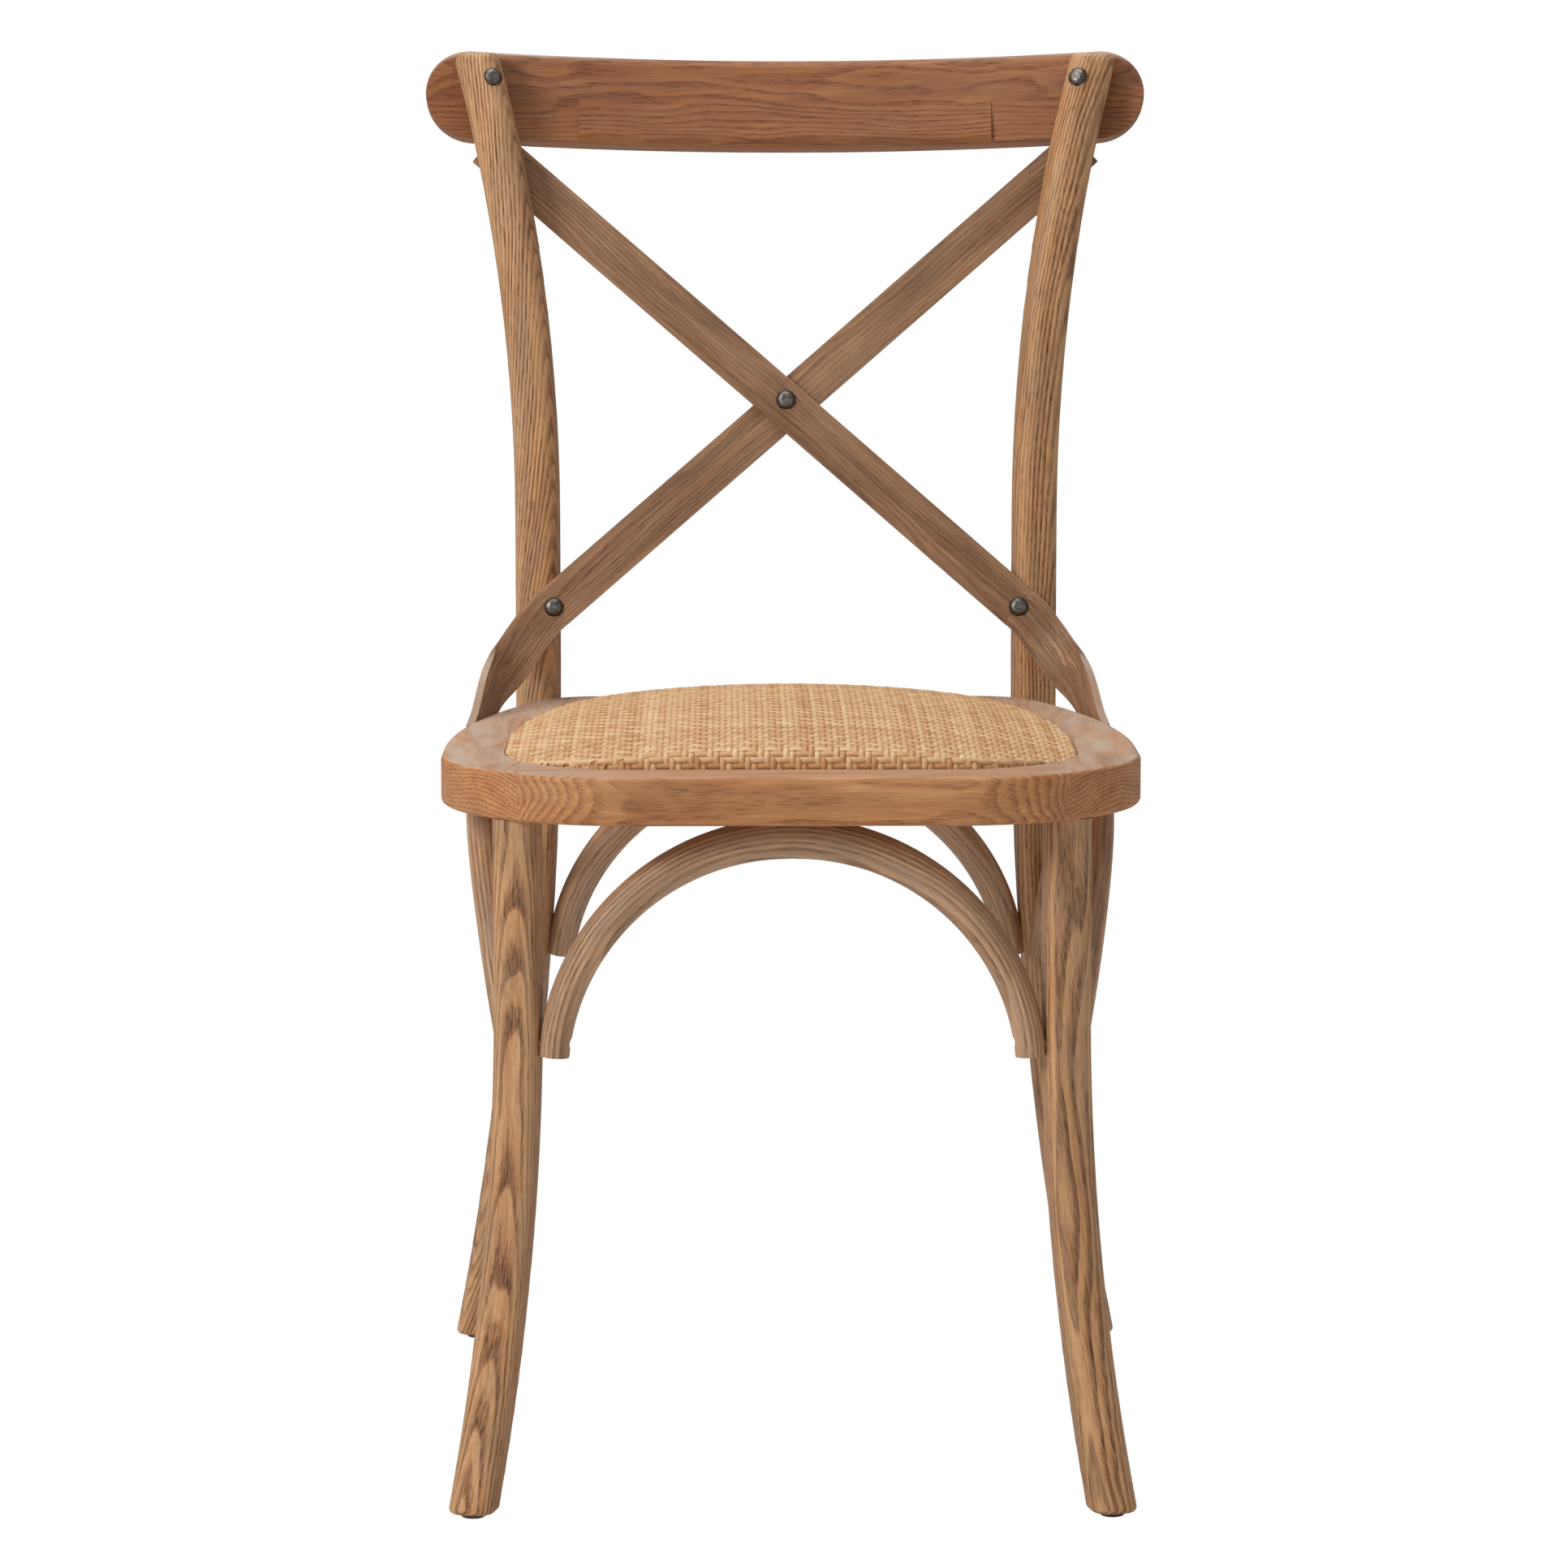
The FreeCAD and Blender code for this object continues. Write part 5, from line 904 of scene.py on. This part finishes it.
# %% [markdown]
# Between the strands one sees a dark lining on the foam. It is a closed pad that follows
# the same crowned shape just under the cane, with a coarse woven surface.

# %% Lining over the foam
LINING_INSET = REBATE + 0.0020
LINING_DEPTH = 0.0016
LINING_UNDER = 0.450


def lining_material():
    """Brown cloth with fine threads both ways."""
    material, tree = new_material("lining")
    place = place_of(tree)
    inputs = {"Vector": place, "Scale": 500.0, "Distortion": 1.5, "Detail": 1.0}
    threads = [add(tree, "ShaderNodeTexWave", inputs, bands_direction=way).outputs["Fac"]
               for way in "XY"]
    cloth = calc(tree, "MAXIMUM", *threads)
    worn = noise(tree, place, (120.0, 120.0, 120.0), 3.0)
    colour = ramp(tree, times(tree, cloth, worn), [(0.1, "#3f2a18"), (0.6, "#7b5733")])
    finish_material(tree, colour, 0.9, cloth, 0.0002, 0.8, Sheen_Weight=0.2)
    return material


def mesh_of(bm, name):
    """Turn a bmesh into a smooth mesh whose faces look outwards."""
    bmesh.ops.recalc_face_normals(bm, faces=bm.faces)
    mesh = bpy.data.meshes.new(name)
    bm.to_mesh(mesh)
    bm.free()
    smooth(mesh)
    return mesh


def lining_pad():
    """A closed pad, in rings from its underside up over the edge to the middle."""
    outer = opening(LINING_INSET + 0.0005)
    rings = [np.column_stack([outer, np.full(len(outer), z)])
             for z in (LINING_UNDER, WEAVE_RIM - 0.003)]
    lines = [opening(LINING_INSET + inset)
             for inset in (0.001, 0.0018, 0.003, 0.005, 0.008, 0.012, 0.018, 0.026)]
    middle = (0, CROWN_Y)
    lines += [(lines[-1] - middle) * share + middle for share in (0.86, 0.70, 0.52, 0.34, 0.16)]
    rings += [np.column_stack([line, pad_height(line) - LINING_DEPTH]) for line in lines]
    bm = bmesh.new()
    rows = [[bm.verts.new(point) for point in ring] for ring in rings]
    top = bm.verts.new((*middle, CROWN_TOP - LINING_DEPTH))
    for k in range(len(outer)):
        n = (k + 1) % len(outer)
        for low, high in zip(rows, rows[1:]):
            bm.faces.new((low[k], low[n], high[n], high[k]))
        bm.faces.new((rows[-1][k], rows[-1][n], top))
    bm.faces.new(reversed(rows[0]))
    return put("seat_lining", mesh_of(bm, "seat_lining"))


seat_lining = lining_pad()
seat_lining.data.materials.append(lining_material())
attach(seat_lining, "root")
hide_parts("seat_foam")
print("lining faces", len(seat_lining.data.polygons))

# %% [markdown]
# The rivets are cast and hammered: a low dome with a shallow dimple in the middle, small
# facets round it and a dark rim. Each replaces its CAD node and sits in the same place.

# %% Rivets
HEAD_DIAMETER = 0.013
HEAD_HEIGHT = 0.0035


def pewter():
    """Antique pewter, hammered and darker towards the rim of each head."""
    material, tree = new_material("pewter")
    place = place_of(tree)
    mottle = noise(tree, place, (420.0, 420.0, 420.0), 4.0, 0.65)
    base = two_tones(tree, mottle, "#5f5c57", "#94908a")
    rim = ramp(tree, attribute(tree, "reach"), [(0.0, 0.0), (0.55, 0.15), (0.85, 0.75), (1.0, 0.9)])
    colour = blend_colours(tree, rim, base, tint("#4c463f"))
    dents = first(tree, "ShaderNodeTexVoronoi", {"Vector": place, "Scale": 750.0},
                  feature="SMOOTH_F1")
    height = scaled(tree, mottle, 0.5, dents)
    roughness = scaled(tree, mottle, 0.3, 0.28)
    finish_material(tree, colour, roughness, height, 0.00018, 0.7, Metallic=1.0)
    return material


def rivet_form():
    """One head, 1 across and 1 high: a dome with a shallow dimple and slightly uneven sides."""
    spokes = 40
    outline = [(0.14, 0.93), (0.26, 0.97), (0.38, 0.985), (0.52, 0.93), (0.66, 0.83), (0.80, 0.66),
               (0.90, 0.46), (0.97, 0.24), (1.0, 0.05), (0.97, 0.0)]
    bm = bmesh.new()
    layer = bm.verts.layers.float.new("reach")
    rings = []
    for share, rise in outline:
        ring = []
        for k in range(spokes):
            angle = 2 * math.pi * k / spokes
            wobble = 1 + 0.012 * math.sin(5 * angle + 9 * share) + 0.008 * math.sin(9 * angle)
            dent = 0.017 * math.sin(7 * angle + 14 * share) * (1 - share)
            out = 0.5 * share * wobble
            vert = bm.verts.new((out * math.cos(angle), out * math.sin(angle), rise + dent))
            vert[layer] = share
            ring.append(vert)
        rings.append(ring)
    top = bm.verts.new((0, 0, 0.92))
    for k in range(spokes):
        n = (k + 1) % spokes
        bm.faces.new((top, rings[0][k], rings[0][n]))
        for a, b in zip(rings, rings[1:]):
            bm.faces.new((a[k], b[k], b[n], a[n]))
    bm.faces.new(reversed(rings[-1]))
    return bpy.data.objects.new("rivet_form", mesh_of(bm, "rivet_form"))


def rivet_tree(form, material):
    """Sets a head and its shank on every point, facing outward and turned at random."""
    tree, given = new_group("set_rivets", {
        "Head Diameter": HEAD_DIAMETER, "Head Height": HEAD_HEIGHT, "Shank Diameter": 0.004,
        "Shank Length": 0.020}, 3)
    head = add(tree, "GeometryNodeObjectInfo", {"Object": form}).outputs["Geometry"]
    wide = given["Head Diameter"]
    sizes = first(tree, "ShaderNodeCombineXYZ", {"X": wide, "Y": wide, "Z": given["Head Height"]})
    head = first(tree, "GeometryNodeTransform", {"Geometry": head, "Scale": sizes})
    length = given["Shank Length"]
    radius = times(tree, given["Shank Diameter"], 0.5)
    shank = first(tree, "GeometryNodeMeshCylinder",
                  {"Vertices": 24, "Radius": radius, "Depth": length})
    sunk = scaled(tree, length, -0.5, 0.0004)
    sink = first(tree, "ShaderNodeCombineXYZ", {"Z": sunk})
    shank = first(tree, "GeometryNodeTransform", {"Geometry": shank, "Translation": sink})
    both = add(tree, "GeometryNodeJoinGeometry")
    tree.links.new(head, both.inputs[0])
    tree.links.new(shank, both.inputs[0])
    outward = named(tree, "outward", "FLOAT_VECTOR")
    facing = first(tree, "FunctionNodeAlignRotationToVector", {"Vector": outward}, axis="Z")
    turn = add(tree, "FunctionNodeRandomValue", {"Seed": given["Seed"], "Max": 6.28},
               data_type="FLOAT").outputs[1]
    about = first(tree, "FunctionNodeAxisAngleToRotation", {"Axis": (0, 0, 1), "Angle": turn})
    facing = first(tree, "FunctionNodeRotateRotation", {0: facing, 1: about},
                   rotation_space="LOCAL")
    inputs = {"Points": given["Geometry"], "Instance": both.outputs[0], "Rotation": facing}
    placed = first(tree, "GeometryNodeInstanceOnPoints", inputs)
    real = first(tree, "GeometryNodeRealizeInstances", {"Geometry": placed})
    add(tree, "NodeGroupOutput", {"Geometry": coated(tree, real, material)})
    return tree


def rivet_piece(name, node, heads, shank):
    """Rivets on the given bases and directions, in place of a CAD node."""
    mesh = bpy.data.meshes.new(name)
    mesh.from_pydata([tuple(base) for base, outward in heads], [], [])
    store(mesh, "outward", np.array([outward for base, outward in heads]))
    made = put(name, mesh)
    grow(made, rivets, "Shank Length", shank)
    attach(made, "root")
    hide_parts(node)
    print(name, len(made.data.polygons), "faces")


def rivet_places(node):
    """Base and direction of the head of a node's left and right rivet."""
    p = points_of(nodes[node])
    found = []
    for group in (p[p[:, 0] < 0], p[p[:, 0] > 0]):
        middle = (group.min(axis=0) + group.max(axis=0)) / 2
        axis = np.linalg.svd(group - group.mean(axis=0), full_matrices=False)[2][0]
        axis = axis if axis[1] < 0 else -axis
        tip = ((group - middle) @ axis).max()
        found.append((middle + axis * (tip - HEAD_HEIGHT), axis))
    return found


rivets = rivet_tree(rivet_form(), pewter())
rivet_piece("crest_rivet_heads", "crest_rivets", rivet_places("crest_rivets"), 0.030)
on_strap = strap_face * STRAP_HALF_THICKNESS
rivet_piece("strap_rivet_heads", "strap_post_rivets",
            [(STRAP_LOW * (side, 1, 1) + on_strap, strap_face) for side in (-1, 1)], 0.020)
p = points_of(nodes["cross_rivet"])
middle = (p.min(axis=0) + p.max(axis=0)) / 2
rivet_piece("cross_rivet_heads", "cross_rivet",
            [(middle + way * 2 * on_strap, way * strap_face) for way in (1, -1)], 0.0045)
print("rivets done")

# %% [markdown]
# The stage is a pale floor under soft light. The main light is a broad panel high on the
# left in front, with a weak one on the right and an even white surround.

# %% Stage, light and camera
PHOTO_SIZE = 1932
FOCAL_LENGTH = 6911
HORIZON_ROW = 50
CAMERA_PLACE = (-0.0387, -3.613, 0.897)
CAMERA_YAW = -0.009895


def stage_floor():
    """A wide pale floor that looks as bright as the surround."""
    material, tree = new_material("floor")
    inputs = {"Base Color": tint("#f4f3f1"), "Roughness": 0.8}
    shader = first(tree, "ShaderNodeBsdfPrincipled", inputs)
    glow = first(tree, "ShaderNodeEmission", {"Color": (1, 1, 1, 1), "Strength": 1.06})
    seen = add(tree, "ShaderNodeLightPath").outputs["Is Camera Ray"]
    share = times(tree, seen, 0.92)
    mix = first(tree, "ShaderNodeMixShader", {0: share, 1: shader, 2: glow})
    add(tree, "ShaderNodeOutputMaterial", {"Surface": mix})
    mesh = bpy.data.meshes.new("floor")
    mesh.from_pydata([(-6, -6, 0), (6, -6, 0), (6, 8, 0), (-6, 8, 0)], [], [(0, 1, 2, 3)])
    mesh.materials.append(material)
    put("floor", mesh)


def area_light(name, place, target, size, power):
    """A round panel that points at its target. Its size is in metres, its power in watts."""
    data = bpy.data.lights.new(name, "AREA")
    data.shape = "DISK"
    data.size = size
    data.energy = power
    made = put(name, data)
    made.location = place
    made.rotation_euler = (Vector(target) - Vector(place)).to_track_quat("-Z", "Y").to_euler()


def surround():
    """Even white light all round, brighter where the camera sees it."""
    world = bpy.data.worlds.new("surround")
    world.use_nodes = True
    tree = world.node_tree
    tree.nodes.clear()
    paths = add(tree, "ShaderNodeLightPath").outputs["Is Camera Ray"]
    strength = scaled(tree, paths, 0.71, 0.29)
    light = add(tree, "ShaderNodeBackground", {"Color": (1, 1, 1, 1), "Strength": strength})
    add(tree, "ShaderNodeOutputWorld", {"Surface": light.outputs[0]})
    bpy.context.scene.world = world


def stage_camera():
    """The photograph's camera. Focal length and horizon are in pixels of the photograph."""
    data = bpy.data.cameras.new("camera")
    data.lens = FOCAL_LENGTH / PHOTO_SIZE * 36
    data.sensor_width = 36
    data.clip_end = 50
    made = put("camera", data)
    made.location = CAMERA_PLACE
    pitch = math.atan((PHOTO_SIZE / 2 - HORIZON_ROW) / FOCAL_LENGTH)
    made.rotation_euler = (math.pi / 2 - pitch, 0, CAMERA_YAW)
    bpy.context.scene.camera = made


stage_floor()
area_light("key_light", (-2.6, -2.0, 2.3), (0, 0, 0.45), 1.3, 72)
area_light("top_light", (-0.3, 0.2, 3.0), (0, 0, 0.4), 2.0, 34)
area_light("fill_light", (2.4, -2.4, 1.2), (0, 0, 0.5), 2.0, 7)
surround()
stage_camera()
bpy.context.scene.view_settings.view_transform = "Standard"
print("stage ready")
